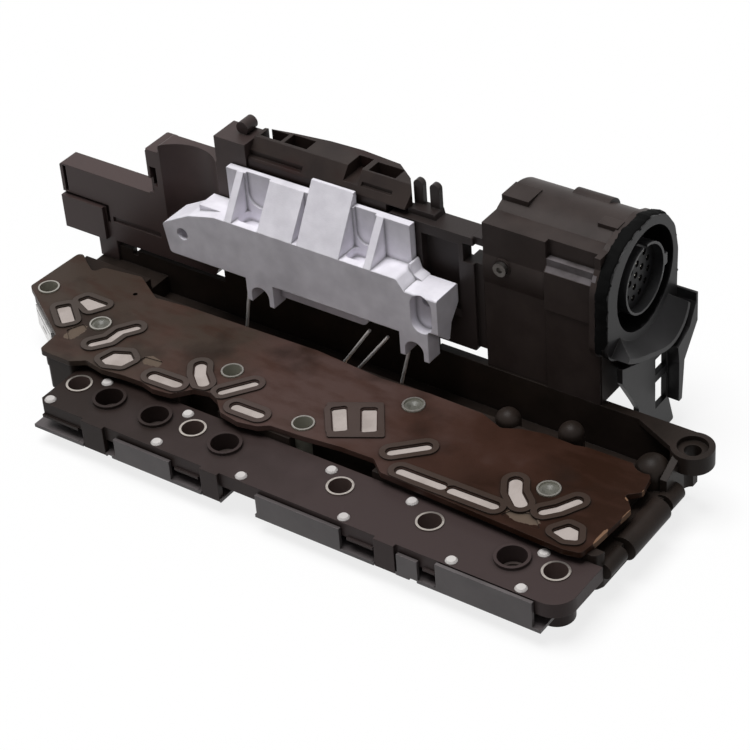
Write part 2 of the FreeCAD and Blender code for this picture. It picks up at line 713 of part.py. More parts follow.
def heat_sink():
    """Die-cast heat sink: a front slab, a finned slope behind its top and a screw boss at each end."""
    points = (
        (sink_left + 3, sink_bottom), (148.0, sink_bottom), (152.0, 72.0), (143.0, sink_top), (38.0, sink_top),
        (22.0, 80.0), (sink_left, 71.0),
    )
    body = prism(points, 2.0, sink_front, sink_back, "xz")
    boss = prism(((sink_front, 79.0), (sink_front, 60.0), (sink_front + 9, 52.0), (sink_front + 11, 61.0),
                  (sink_back, 69.0), (sink_back, 79.0)), 1.0, 147.5, sink_right, "yz")
    wall_y = sink_back - fin_wall
    solids = [
        body,
        boss,
        box(25.0, 39.0, sink_front + 6, sink_back, sink_top - 6, sink_top),
        box(38.0, 143.0, wall_y, sink_back, sink_top - 1, fin_wall_top),
        prism(((143.0, sink_top + 6), (143.0, 78.0), (153.0, 78.0), (146.0, 81.0)), 1.0, wall_y - 3, sink_back, "xz"),
        sloped(wall_y, fin_wall_top, 44.5, 44.5 + web_t),
        sloped(wall_y, fin_wall_top, 64.0, 84.0),
        sloped(sink_back - 1.5, fin_centre_top, 87.0, 111.0),
        sloped(wall_y, fin_wall_top, 125.0, 125.0 + web_t),
        prism(((lower_band[0], 46.0), (lower_band[1], 46.0), (lower_band[1], sink_bottom + 3),
               (lower_band[0], sink_bottom + 3)), 4.0, sink_front + 6, sink_back, "xz"),
    ]
    for a, b in sink_ears:
        solids.append(box(a, b, sink_front, sink_front + 9, sink_bottom - ear_drop, sink_bottom + 6))
    for x, z, wide, tall, thick in hot_chips:
        solids.append(box(x, x + wide, sink_back - 1, board_front - thick - pad_t, z, z + tall))
    tools = [
        prism(((48.5, wall_y), (48.5, sink_front + 4), (64.0, sink_front + 4), (64.0, wall_y)), 3.0,
              sink_top - 5, sink_top + 1),
        prism(((111.5, wall_y), (111.5, sink_front + 4), (125.0, sink_front + 4), (125.0, wall_y)), 3.0,
              sink_top - 5, sink_top + 1),
        bar_y(56.5, 94.0, wall_y - 1, wall_y + 1.5, 7.0),
        box(49.5, 63.5, wall_y - 1, wall_y + 1.5, 94.0, fin_wall_top + 1),
        bar_y(118.0, 92.0, wall_y - 1, wall_y + 1.5, 6.0),
        box(112.0, 124.0, wall_y - 1, wall_y + 1.5, 92.0, fin_wall_top + 1),
    ]
    for a, b in sink_ears:
        mid = (a + b) / 2
        arch_z = sink_bottom - ear_drop + 4
        tools.append(bar_y(mid, arch_z, sink_front - 1, sink_front + 10, ear_arch_r))
        tools.append(box(mid - ear_arch_r, mid + ear_arch_r, sink_front - 1, sink_front + 10, 30, arch_z))
    tools.append(bar_y(*sink_bore, sink_front - 1, sink_back + 1, 3.2))
    for z in boss_slot_z:
        tools.append(bar_y(boss_slot_x, z, sink_front - 1, sink_front + boss_slot_depth, boss_slot_r))
    tools.append(box(boss_slot_x - boss_slot_r, boss_slot_x + boss_slot_r, sink_front - 1,
                     sink_front + boss_slot_depth, *boss_slot_z))
    tools.append(bar_y(*boss_bore, sink_front - 1, sink_back + 1, 2.8))
    return cut(fuse(solids), tools)


def sink_gasket():
    rim = 1.5
    outer = box(pocket_left - rim, pocket_right + rim, sink_back, wall_front, pocket_bottom - rim, pocket_top + rim)
    return outer.cut(box(pocket_left, pocket_right, sink_back, wall_front, pocket_bottom, pocket_top))


def thermal_pad(x, z, wide, tall, thick):
    high = board_front - thick
    return box(x, x + wide, high - pad_t, high, z, z + tall)


def board_screw_places():
    inset = board_gap + board_screw_inset
    return [(x, z) for x in (pocket_left + inset, pocket_right - inset)
            for z in (pocket_bottom + inset, pocket_top - inset)]


def housing():
    """Upright electronics housing with its left wing, scooped wall, latch and leg."""
    points = (
        (wing_left, wing_bottom), (band_right, wing_bottom), (band_right + 5, wall_bottom + 1.5),
        (housing_right, wall_bottom + 1.5), (housing_right, shoulder_top - 3), (129.0, shoulder_top - 3),
        (127.0, wall_top), (28.5, wall_top), (27.5, scoop_rim), (wing_right + 8.5, scoop_rim),
        (wing_right + 8.5, latch_top), (wing_right, latch_top), (wing_right, wing_top), (wing_left, wing_top),
    )
    solids = [
        prism(points, 1.5, wall_front, wall_back, "xz"),
        prism(((wing_right, wall_front), (wing_right + 10, wall_front), (wing_right + 7, wall_front + latch_depth),
               (wing_right, wall_front + latch_depth)), 1.0, 60.0, latch_top),
        box(wing_left, -50.0, wall_front - 2, wall_front + 1, wing_bottom, 53.0),
        box(leg_x, leg_x + leg_w, wall_front, wall_front + 4.4, rear_wall_low, wing_bottom + 1),
        box(*clip_block, wall_front, wall_back + 4, wall_top - 1, clip_block_top),
        bar_y(clip_block[1] - 7, clip_block_top + 3, wall_back - 4, wall_back + 4, 3.4),
        box(housing_right - 1, tower_left - fit, wall_front + 2, wall_back, wall_bottom + 3, shoulder_top - 3),
        prism(((136.0, shoulder_top - 4), (152.0, shoulder_top - 4), (151.0, shoulder_top), (137.0, shoulder_top)),
              1.0, wall_front + 4, wall_back, "xz"),
    ]
    half = finger_w / 2
    for x in finger_x:
        solids.append(box(x - half, x + half, wall_back - 3, wall_back, shoulder_top - 1, shoulder_top + finger_h - half))
        solids.append(bar_y(x, shoulder_top + finger_h - half, wall_back - 3, wall_back, half))
    body = fuse(solids)
    left, low, high = sight_window
    tools = [
        post(scoop_x, scoop_y, scoop_bottom, scoop_rim + 9, scoop_r),
        box(pocket_left, pocket_right, wall_front - 1, pocket_floor, pocket_bottom, pocket_top),
        box(146.0, left - 2.5, wall_front - 1, wall_front + 5, 60.0, 100.0),
        box(left, tower_left + 1, wall_front - 1, wall_back + 1, low, high),
        box(left - 13, left + 1, wall_back - 5, wall_back + 1, low - 11.5, high + 3.5),
        box(wing_left + 2, wing_left + 4, wall_front - 1, wall_front + 3, 55.0, 70.0),
        box(wing_left - 1, -47.0, wall_front - 1, wall_front + 1.5, 53.0, 54.5),
        box(-49.0, -47.0, wall_front - 1, wall_front + 1.5, 44.0, 54.5),
        box(wing_right + 1.5, wing_right + 5.5, wall_front - 1, wall_front + 9, 76.0, 87.0),
        box(wing_right - 1, wing_right + 3, wall_front - 1, wall_front + 2, 72.0, 80.0),
        box(-45.0, -14.0, wall_front - 1, wall_front + 1, 45.5, 48.5),
        box(pocket_right - 1, tower_left, board_front + board_t, board_front + board_t + 2 * cable_t + 0.4,
            cable_z[0] - 0.5, cable_z[1] + 0.5),
    ]
    body = cut(body, tools)
    back = board_front + board_t
    stands = [bar_y(x, z, back, pocket_floor + 1, 2.6) for x, z in board_screw_places()]
    body = fuse([body] + stands)
    return cut(body, [bar_y(x, z, back - 1, pocket_floor + 1.5, 1.2) for x, z in board_screw_places()])


def control_board():
    board = box(pocket_left + board_gap, pocket_right - board_gap, board_front, board_front + board_t,
                pocket_bottom + board_gap, pocket_top - board_gap)
    return cut(board, [bar_y(x, z, board_front - 1, board_front + board_t + 1, 1.2) for x, z in board_screw_places()])


def board_chips():
    chips = hot_chips + cool_chips
    return [box(x, x + wide, board_front - thick, board_front, z, z + tall) for x, z, wide, tall, thick in chips]


def board_screw(x, z):
    head = bar_y(x, z, board_front - 1.2, board_front, 2.1)
    return head.fuse(bar_y(x, z, board_front, pocket_floor + 1, 1.2 - fit))


def lead_pins():
    """Bare solder tails that run from the electronics down to the conductors in the trough."""
    pins = []
    floor = deck_bottom + trough_floor
    for x_top, x_bottom, z_top in lead_runs:
        top = V(x_top, lead_y, z_top)
        bottom = V(x_bottom, lead_y, floor + lead_r)
        pins.append(Part.makeCylinder(lead_r, (top - bottom).Length, bottom, top - bottom))
    return pins


def lead_tracks():
    """Flat conductors on the trough's floor that join the tails."""
    floor = deck_bottom + trough_floor
    pads = [box(x - 2, x + 2, lead_y - 3, lead_y + 3, floor, floor + 0.4) for _, x, _ in lead_runs]
    tracks = fuse([box(2.0, 196.0, lead_y + 2, lead_y + 5, floor, floor + 0.4)] + pads)
    return cut(tracks, [post(x, lead_y, floor - 1, floor + 1, 1.2) for _, x, _ in lead_runs])


def top_cover():
    """Cover that hooks over the top of the housing, with its sloped front, wells and bowed back."""
    plan = ((cover_left, cover_front), (cover_right, cover_front), (cover_right + 0.7, cover_front + 5.5),
            (cover_right - 4, 128.6), (122.0, 136.5), (100.0, cover_back - 0.7), (82.0, 137.6), (62.0, 135.0),
            (cover_left, 132.4))
    section = ((cover_front, wall_top + fit), (cover_front, cover_lip_top), (cover_slope_y, cover_top),
               (cover_back, cover_top), (cover_back, wall_top + fit))
    over = prism(plan, 0.5, wall_top + fit, cover_top)
    over = over.common(prism(section, 0.8, cover_left - 1, cover_right + 2, "yz"))
    over = over.cut(box(*finger_land_x, cover_front - 1, wall_back + fit, wall_top, shoulder_top + fit))
    behind = prism(plan, 0.5, cover_bottom, wall_top + 1)
    behind = behind.cut(box(cover_left - 1, cover_right + 2, cover_front - 1, wall_back + fit,
                            cover_bottom - 1, wall_top + 2))
    tools = [box(x0, x1, y0, y1, cover_top - depth, cover_top + 1) for x0, x1, y0, y1, depth in cover_wells]
    tools += [box(x0, x1, cover_front - 1, cover_front + depth, z, cover_top + 1) for x0, x1, z, depth in cover_steps]
    return cut(fuse([over, behind]), tools)


def tower():
    """Connector tower: a stepped box in front and a barrel that lies along X."""
    barrel = bar_x(barrel_y, barrel_z, tower_left, tower_right, barrel_r)
    end = prism(face_points, face_corner_r, tower_right - 3, tower_right, "yz")
    step = tower_front - step_proud
    bulge = ((step, 80.0), (step, 100.0), (step + 5, ledge_top), (tower_front + 4, ledge_top),
             (tower_front + 4, rail_top), (step + 1, rail_top), (step + 1, 80.0))
    crown = barrel_z + barrel_r
    solids = [
        box(tower_left, tower_right, tower_front, tower_back, rail_top, ridge_top),
        prism(bulge, 0, barrel_step_x, tower_right - 0.5, "yz"),
        box(tower_left, tower_left + 14, barrel_y - 10.5, barrel_y + 1.5, barrel_z, crown + 0.7),
        box(tower_right - 12, tower_right - 2, barrel_y - 9.5, barrel_y - 3, barrel_z, crown + 0.5),
        bar_x(barrel_y + 11.5, barrel_z + 20, tower_left + 25, tower_left + 44, 7.5),
        bar_y(frame_screw_x, frame_screw_z, screw_seat_y, tower_front + 1, 4.4),
        barrel,
        end,
    ]
    body = fuse(solids)
    inner = cup_r + seat_gap
    tools = [
        bar_x(barrel_y, barrel_z, tower_left + moulded_wall, tower_right + 1, inner),
        box(tower_left + moulded_wall, tower_right - 5, tower_front + 3, tower_back - moulded_wall, 40.0, 68.0),
        box(tower_left - 1, tower_left + 5, board_front + board_t, board_front + board_t + 2 * cable_t + 0.4,
            cable_z[0] - 0.5, cable_z[1] + 0.5),
        bar_y(frame_screw_x, frame_screw_z, screw_seat_y - 1, screw_seat_y + 2.2, 2.0),
        box(barrel_step_x, tower_right - 3, tower_front - 1, tower_front + 3, ledge_top, ridge_top + 1),
    ]
    return cut(body, tools)


def face_gasket():
    """Thick sealing layer between the tower and the connector's face, a little smaller than both."""
    rim = Part.Face(outline(face_points, face_corner_r, "yz", tower_right)).makeOffset2D(-gasket_inset)
    ring = rim.extrude(V(gasket_t, 0, 0))
    return ring.cut(bar_x(barrel_y, barrel_z, tower_right - 1, face_x + 1, cup_r + 1.0))


def through(points):
    """Smooth edge through the points."""
    curve = Part.BSplineCurve()
    curve.interpolate(points)
    return curve.toShape()


def chin():
    """Sloped skirt that flares from the lower half of the round well out to the bracket."""
    def toward_axis(point, reach):
        arm = V(barrel_y - point[0], barrel_z - point[1], 0)
        arm.normalize()
        return (point[0] + arm.x * reach, point[1] + arm.y * reach)

    arc = []
    for point in chin_points:
        gap = math.hypot(barrel_y - point[0], barrel_z - point[1]) - chin_r
        arc.append(toward_axis(point, gap))
    lips = [toward_axis(point, chin_lip) for point in chin_points]
    wires = []
    for level, upper in ((face_front - 0.5, arc), (face_front + chin_reach, lips)):
        top = [V(level, y, z) for y, z in upper]
        bottom = [V(level, y, z) for y, z in chin_points]
        wires.append(Part.Wire([through(top), Part.makeLine(top[-1], bottom[-1]), through(bottom[::-1]),
                                Part.makeLine(bottom[0], top[0])]))
    return Part.makeLoft(wires, True, True)


def connector_face():
    """Front plate of the connector with the round well behind it and the sloped chin below it."""
    plate = prism(face_points, face_corner_r, face_x, face_front, "yz")
    cup = bar_x(barrel_y, barrel_z, well_floor - cup_floor, face_front - 0.5, cup_r)
    body = fuse([plate, cup, chin()])
    tools = [bar_x(barrel_y, barrel_z, well_floor, face_front + 1, socket_r),
             bar_x(barrel_y, barrel_z, well_floor - cup_floor - 1, well_floor + 1, shroud_r - shroud_wall)]
    return cut(body, tools)


def connector_shroud():
    """Keyed ring that stands in the well, with its mouth level with the face."""
    ring = bar_x(barrel_y, barrel_z, well_floor + fit, face_front, shroud_r)
    ring = ring.cut(bar_x(barrel_y, barrel_z, well_floor - 1, face_front + 1, shroud_r - shroud_wall))
    key = box(well_floor + fit, face_front, barrel_y + shroud_r - 0.8, barrel_y + shroud_r + 2.2,
              barrel_z - 3.0, barrel_z + 3.0)
    groove = box(well_floor + 2, face_front + 1, barrel_y - 1.5, barrel_y + 1.5, barrel_z + shroud_r - 3,
                 barrel_z + shroud_r + 1)
    return cut(fuse([ring, key]), [groove])


def pin_places():
    places = []
    for ring_r, count in pin_rings:
        for i in range(count):
            turn = 2 * math.pi * i / count + 0.3
            places.append((barrel_y + ring_r * math.cos(turn), barrel_z + ring_r * math.sin(turn)))
    return places


def connector_insert():
    """Contact carrier with a well round each pin."""
    r = shroud_r - shroud_wall - fit
    disc = bar_x(barrel_y, barrel_z, well_floor - cup_floor, insert_front, r)
    bores = [bar_x(y, z, well_floor - cup_floor - 1, insert_front - 1, pin_r) for y, z in pin_places()]
    wells = [bar_x(y, z, insert_front - pin_well, insert_front + 1, pin_well_r) for y, z in pin_places()]
    return cut(disc, bores + wells)


def connector_pins():
    rear = cable_end_x + 1.5
    tip = insert_front - 0.6
    taper = 0.8
    pins = []
    for y, z in pin_places():
        shank = bar_x(y, z, rear, tip - taper, pin_r)
        pins.append(shank.fuse(Part.makeCone(pin_r, pin_r * 0.4, taper, V(tip - taper, y, z), V(1, 0, 0))))
    return pins


def connector_board():
    disc = bar_x(barrel_y, barrel_z, cable_end_x, cable_end_x + 1.5, 20.0)
    return disc


def flex_cable():
    """Flat cable from the control board to the connector's own board."""
    y = board_front + board_t
    start = pocket_right - board_gap - 6
    stop = cable_end_x
    run = box(start, stop, y, y + cable_t, cable_z[0], cable_z[1])
    turn = box(stop - cable_t, stop, y, barrel_y - 12, cable_z[0], cable_z[1])
    return fuse([run, turn])


def tower_bracket():
    """Open bracket under the connector's face, with a foot, two windows and a skirt at its back edge."""
    back = tower_right + fit
    points = (
        (110.0, 56.0), (111.0, 62.0), (121.0, 57.5), (133.0, 53.0), (146.0, 48.5), (159.0, 47.3), (169.5, 52.5),
        (173.0, 56.0), (166.0, 44.0), (162.0, 36.0), (161.0, 16.0), (166.0, 0.0), (154.0, 0.0), (147.0, deck_bottom),
        (134.0, deck_bottom), (133.5, 27.0), (129.6, 33.7), (118.0, 52.0),
    )
    skirt = (
        (159.0, 47.3), (169.5, 52.5), (175.5, 63.0), (175.5, 68.0), (fin_back, 68.0), (fin_back, 52.0), (165.0, 37.0),
        (163.0, 16.0), (160.0, 16.0), (160.0, 38.0),
    )
    plate = prism(points, 1.0, back, bracket_front_x, "yz")
    edge = prism(skirt, 0.5, back + 3, skirt_front_x, "yz")
    tools = [box(back - 1, skirt_front_x + 1, 148.6, 158.8, 17.0, 32.0),
             box(back - 1, skirt_front_x + 1, 148.6, 158.8, 36.0, 45.0)]
    return cut(fuse([plate, edge]), tools)


def frame_screw():
    head = bar_y(frame_screw_x, frame_screw_z, screw_seat_y - 2.2, screw_seat_y, 3.4)
    shank = bar_y(frame_screw_x, frame_screw_z, screw_seat_y - 0.1, screw_seat_y + 2.1, 2.0 - fit)
    return cut(head.fuse(shank), [bar_y(frame_screw_x, frame_screw_z, screw_seat_y - 3, screw_seat_y - 0.8, 1.5)])


def save(name, shape):
    """Move a piece, or a group of like pieces, to the module's own frame and write it."""
    solids = shape if isinstance(shape, list) else [shape]
    moved = [s.translated(-origin) for s in solids]
    whole = moved[0] if len(moved) == 1 else Part.makeCompound(moved)
    for solid in whole.Solids:
        assert solid.isValid(), name
    whole.exportStep(os.path.join("parts", name + ".step"))


# The module's own frame: origin under the middle of its overall box
left_extreme = wing_left
right_extreme = ear_x + ear_r
back_extreme = fin_back
origin = V((left_extreme + right_extreme) / 2, back_extreme / 2, 0)

os.makedirs("parts", exist_ok=True)
save("carrier", carrier())
save("switch_strip", switch_strip())
save("strip_cover", strip_cover())
save("strip_sleeves", [strip_sleeve(x) for x in sleeve_x])
save("heat_stakes", [heat_stake(x, y) for x, y in stake_spots])
save("switch_seals", [switch_seal(x) for x in port_x])
save("switch_discs", [switch_disc(x) for x in port_x])
save("filter_plate", filter_plate())
save("filter_screens", filter_screens())
save("plate_seals", plate_seals())
save("plate_ferrules", [plate_ferrule(x, y) for x, y in ferrule_spots])
save("plate_rivets", [plate_rivet(*ferrule_spots[i]) for i in riveted])
save("edge_clip", edge_clip())
for number, x in enumerate(solenoid_x, 1):
    save("armature_%d" % number, armature(x))
    save("return_spring_%d" % number, return_spring(x))
save("solenoid_cans", [solenoid_can(x) for x in solenoid_x])
save("solenoid_coils", [solenoid_coil(x) for x in solenoid_x])
save("valve_seats", [valve_seat(x) for x in solenoid_x])
save("valve_retainer", valve_retainer())
save("retainer_screws", [retainer_screw(x) for x in retainer_screw_x])
save("heat_sink", heat_sink())
save("sink_gasket", sink_gasket())
save("thermal_pads", [thermal_pad(*chip) for chip in hot_chips])
save("housing", housing())
save("control_board", control_board())
save("board_chips", board_chips())
save("board_screws", [board_screw(x, z) for x, z in board_screw_places()])
save("lead_pins", lead_pins())
save("lead_tracks", lead_tracks())
save("top_cover", top_cover())
save("connector_tower", tower())
save("face_gasket", face_gasket())
save("connector_face", connector_face())
save("connector_shroud", connector_shroud())
save("connector_insert", connector_insert())
save("connector_pins", connector_pins())
save("connector_board", connector_board())
save("flex_cable", flex_cable())
save("tower_bracket", tower_bracket())
save("frame_screw", frame_screw())
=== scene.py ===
import json
import math

import bmesh
import bpy
from mathutils import Matrix, Vector, noise as random_field
from mathutils.bvhtree import BVHTree

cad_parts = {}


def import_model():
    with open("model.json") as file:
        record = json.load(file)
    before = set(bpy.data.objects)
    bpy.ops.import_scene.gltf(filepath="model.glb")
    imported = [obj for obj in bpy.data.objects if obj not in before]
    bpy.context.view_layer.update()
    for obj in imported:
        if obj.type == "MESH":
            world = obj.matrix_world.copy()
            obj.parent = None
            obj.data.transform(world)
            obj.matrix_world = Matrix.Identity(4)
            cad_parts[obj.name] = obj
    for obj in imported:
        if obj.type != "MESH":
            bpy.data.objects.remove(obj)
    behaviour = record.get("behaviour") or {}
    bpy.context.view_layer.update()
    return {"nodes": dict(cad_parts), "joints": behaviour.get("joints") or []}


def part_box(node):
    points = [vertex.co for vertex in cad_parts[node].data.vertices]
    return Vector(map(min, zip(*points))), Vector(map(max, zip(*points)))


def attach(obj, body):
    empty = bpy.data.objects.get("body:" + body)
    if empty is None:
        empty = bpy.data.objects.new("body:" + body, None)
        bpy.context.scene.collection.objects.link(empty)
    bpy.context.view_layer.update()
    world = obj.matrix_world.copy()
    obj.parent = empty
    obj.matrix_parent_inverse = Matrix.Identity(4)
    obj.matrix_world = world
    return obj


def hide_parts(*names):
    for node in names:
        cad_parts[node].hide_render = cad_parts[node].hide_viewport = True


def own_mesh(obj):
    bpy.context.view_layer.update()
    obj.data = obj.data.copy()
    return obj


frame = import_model()

# Photograph's view: turn from the front towards the right, height and tilt in degrees
VIEW_TURN = 37.64
VIEW_HEIGHT = 36.42
VIEW_TILT = 4.67
VIEW_DISTANCE = 1.133
VIEW_TARGET = Vector((0.01625, 0.0095, 0.024))
LENS_MM = 115.5

# Millimetres from the left end, the front and the feet to the frame's origin
DATUM_X = 110.75
DATUM_Y = 88.5

# Filter plate: spots as middle and half lengths, then the colours from its left end to its right end
PALE_PATCHES = ((-14.0, 47.0, 4.0, 7.0), (34.0, 46.5, 6.0, 3.5), (247.0, 38.5, 9.0, 3.6))
CHIPPED_EDGES = (
    (283.5, 80.0, 1.6, 3.0), (280.0, 72.0, 3.0, 1.6), (284.5, 62.0, 1.2, 8.0), (282.0, 44.0, 1.2, 6.0),
    (284.4, 50.0, 0.9, 22.0),
)
PLATE_LEFT = -60.0
PLATE_RIGHT = 284.0
PLATE_PLACES = (0.24, 0.42, 0.58, 0.72, 0.86)
PLATE_OLIVE = (0.050, 0.035, 0.027)
PLATE_RUST = (0.070, 0.036, 0.028)
PLATE_GREY = (0.075, 0.045, 0.039)
PLATE_BROWN = (0.040, 0.017, 0.011)
PLATE_RED = (0.020, 0.007, 0.003)
PLATE_OIL = (0.012, 0.007, 0.005)
PLATE_PALE = (0.120, 0.088, 0.066)
PLATE_CHIP = (0.200, 0.115, 0.070)
SEAL_COLOURS = (
    (0.058, 0.044, 0.037), (0.066, 0.046, 0.040), (0.058, 0.040, 0.034), (0.044, 0.028, 0.021),
    (0.036, 0.022, 0.016),
)
SPOT_ROUGHNESS = 0.9
SPOT_REACH = 1.4

# Painted shade in corners, edges lightened by wear and painted highlight, and the housing from its left end
# to its right end
CORNER_SHADE = (0.005, 0.004, 0.003)
EDGE_WEAR_AND_HIGHLIGHT = (0.10, 0.08, 0.075)
HOUSING_LEFT = (0.058, 0.037, 0.035)
HOUSING_RIGHT = (0.020, 0.014, 0.013)
HOUSING_FADE = (-30.0, 110.0)
HOUSING_SHINE = 0.28

# Connector: axis of the round socket, then the sealant squeezed out round its face
BARREL_Y = 145.5
BARREL_Z = 90.5
FLANK_X = 244.0
SMEAR_REACH = 0.9
OUTSIDE_FACE = 0.08
BEAD_X = (238.6, 245.2)
BEAD_ARC = (-35.0, 215.0)
BEAD_HEIGHT = 0.9
BEAD_SUNK = 0.15
BEAD_TAPER = 12
BEAD_BROAD = 9.0
BEAD_FINE = 34.0
BEAD_STEPS = 150
BEAD_RIBS = 8

# Bracket: boxes cut away behind its lower plate and at its corner, lowest and highest corners
BRACKET_CUTS = (
    ((238.0, 105.0, -1.0), (246.2, 178.0, 46.0)),
    ((238.0, 105.0, 40.0), (246.2, 134.0, 60.0)),
    ((238.0, 105.0, 40.0), (250.0, 119.0, 64.0)),
)

# Zones as lowest and highest X, Y and Z: dark bands along each slot of the pale clip, painted shade, and the
# pale ledge on the tower, a painted highlight
CLIP_SLOT_SHADE = (((-60.0, -20.0), (46.6, 60.0), (22.6, 23.9)), ((-60.0, -20.0), (51.0, 55.0), (17.6, 19.2)))
TOWER_LEDGE_HIGHLIGHT = ((211.5, 238.0), (115.0, 121.5), (100.2, 106.3))

# Return springs in the solenoids: real coils, which on the object shorten as the armatures rise; each is
# built here at one length, filling its spring's box in the model
SPRING_TURNS = 4.5
SPRING_WIRE_R = 0.35
SPRING_R = 3.9
SPRING_STEPS = 108
SPRING_CLOSED = 0.14
WIRE_SIDES = 8

# Back of the frame and of the tower: upright ribs as X and lowest and highest Z,
# level ribs as Z and lowest and highest X
WALL_BACK = 128.0
TOWER_BACK = 150.0
RIB_T = 1.6
RIB_PROUD = 1.8
RIB_SUNK = 0.2
RIB_ROUNDING = 0.0003
FRAME_UPRIGHTS = tuple((x, 46.2, 95.8) for x in (8.0, 32.0, 56.0, 80.0, 104.0, 128.0, 152.0))
WING_UPRIGHTS = tuple((x, 39.0, 63.0) for x in (-70.0, -54.0, -38.0, -22.0))
TOWER_UPRIGHTS = tuple((x, 39.0, 58.0) for x in (190.0, 202.0, 214.0, 226.0))
FRAME_LEVELS = ((47.0, -2.0, 176.0), (71.0, -2.0, 176.0), (95.0, -2.0, 152.8))
WING_LEVELS = ((51.0, -75.0, -16.0),)
BACK_BOSSES = ((20.0, 59.0), (164.0, 59.0), (20.0, 83.0), (140.0, 83.0))
BOSS_R = 4.2
BOSS_HOLE_R = 1.7
BOSS_PROUD = 2.2
BOSS_CHAMFER = 0.4
BOSS_SIDES = 32

# Light and floor
WORLD_STRENGTH = 0.11
FLOOR_SIZE = 12
FLOOR_DROP = 0.0002
FLOOR_GLOW = 0.8
FLOOR_SEEN = (0.2, 0.2, 0.2)
FLOOR_THROWN = (0.14, 0.14, 0.14)


def from_datum(x, y):
    """Place in metres in the frame, from millimetres measured on the part."""
    return (x - DATUM_X) / 1000, (y - DATUM_Y) / 1000


def new_material(name):
    """Material with only its principled shader, its tree and its links."""
    material = bpy.data.materials.new(name)
    material.use_nodes = True
    tree = material.node_tree
    shader = tree.nodes["Principled BSDF"]
    return material, tree, shader


def noise(tree, scale, detail=4.0, stretch=(1, 1, 1), seed=0.0):
    """Noise in the object's own coordinates, which are the part's frame."""
    where = tree.nodes.new("ShaderNodeTexCoord")
    mapping = tree.nodes.new("ShaderNodeMapping")
    mapping.inputs["Scale"].default_value = stretch
    mapping.inputs["Location"].default_value = (seed, seed * 0.7, seed * 1.3)
    texture = tree.nodes.new("ShaderNodeTexNoise")
    texture.inputs["Scale"].default_value = scale
    texture.inputs["Detail"].default_value = detail
    tree.links.new(where.outputs["Object"], mapping.inputs["Vector"])
    tree.links.new(mapping.outputs["Vector"], texture.inputs["Vector"])
    return texture.outputs["Fac"]


def ramp(tree, source, stops):
    """Colour ramp fed by a value: stops are (place, colour)."""
    node = tree.nodes.new("ShaderNodeValToRGB")
    elements = node.color_ramp.elements
    while len(elements) < len(stops):
        elements.new(0.5)
    for element, (place, colour) in zip(elements, stops):
        element.position = place
        element.color = (*colour, 1)
    tree.links.new(source, node.inputs["Fac"])
    return node.outputs["Color"]


def value_node(tree, operation, *sources):
    """Math node: each source is a socket or a number."""
    node = tree.nodes.new("ShaderNodeMath")
    node.operation = operation
    for socket, source in zip(node.inputs, sources):
        if isinstance(source, (int, float)):
            socket.default_value = source
        else:
            tree.links.new(source, socket)
    return node.outputs[0]


def remapped(tree, source, low, high, to_low=0.0, to_high=1.0):
    """Value moved from one range to another, and held inside it."""
    node = tree.nodes.new("ShaderNodeMapRange")
    node.inputs["From Min"].default_value = low
    node.inputs["From Max"].default_value = high
    node.inputs["To Min"].default_value = to_low
    node.inputs["To Max"].default_value = to_high
    tree.links.new(source, node.inputs["Value"])
    return node.outputs["Result"]


def mixed(tree, mask, first, second):
    """First colour where the mask is 0, second where it is 1: each a socket or a colour."""
    node = tree.nodes.new("ShaderNodeMix")
    node.data_type = "RGBA"
    tree.links.new(mask, node.inputs["Factor"])
    for socket, colour in (("A", first), ("B", second)):
        if isinstance(colour, tuple):
            node.inputs[socket].default_value = (*colour, 1)
        else:
            tree.links.new(colour, node.inputs[socket])
    return node.outputs["Result"]


def place_on_part(tree, axis):
    """One coordinate of the point, in metres from the frame's origin."""
    where = tree.nodes.new("ShaderNodeTexCoord")
    apart = tree.nodes.new("ShaderNodeSeparateXYZ")
    tree.links.new(where.outputs["Object"], apart.inputs[0])
    return apart.outputs[axis]


def zone_mask(tree, zone):
    """1 inside a box on the part: lowest and highest X, Y and Z, in millimetres."""
    total = 1.0
    for axis, (low, high), start in zip("XYZ", zone, (DATUM_X, DATUM_Y, 0.0)):
        middle = ((low + high) / 2 - start) / 1000
        inside = value_node(tree, "COMPARE", place_on_part(tree, axis), middle, (high - low) / 2000)
        total = value_node(tree, "MULTIPLY", total, inside)
    return total


def facing(tree, axis):
    """How far the surface faces along an axis of the part, from -1 to 1."""
    where = tree.nodes.new("ShaderNodeTexCoord")
    apart = tree.nodes.new("ShaderNodeSeparateXYZ")
    tree.links.new(where.outputs["Normal"], apart.inputs[0])
    return apart.outputs[axis]


def rounded_normal(tree, radius=0.0004):
    """Normal that turns smoothly over the sharp edges of the solids."""
    node = tree.nodes.new("ShaderNodeBevel")
    node.samples = 4
    node.inputs["Radius"].default_value = radius
    return node.outputs["Normal"]


def edge_mask(tree, normal, amount):
    """Rises from 0 to the amount along the edges, in broken lines."""
    flat = tree.nodes.new("ShaderNodeNewGeometry")
    alike = tree.nodes.new("ShaderNodeVectorMath")
    alike.operation = "DOT_PRODUCT"
    tree.links.new(normal, alike.inputs[0])
    tree.links.new(flat.outputs["Normal"], alike.inputs[1])
    edge = remapped(tree, alike.outputs["Value"], 0.985, 0.86, 0.0, amount)
    broken = remapped(tree, noise(tree, 130.0, 3.0, seed=5.3), 0.38, 0.62)
    return value_node(tree, "MULTIPLY", edge, broken)


def shaded_in_corners(tree, colour, reach=0.003, least=0.3):
    """Colour darkened in corners and beside raised rims by ambient occlusion: painted shade."""
    shade = tree.nodes.new("ShaderNodeAmbientOcclusion")
    shade.samples = 6
    shade.inputs["Distance"].default_value = reach
    unmarked = remapped(tree, shade.outputs["AO"], 0.3, 0.95, least, 1.0)
    return mixed(tree, unmarked, CORNER_SHADE, colour)


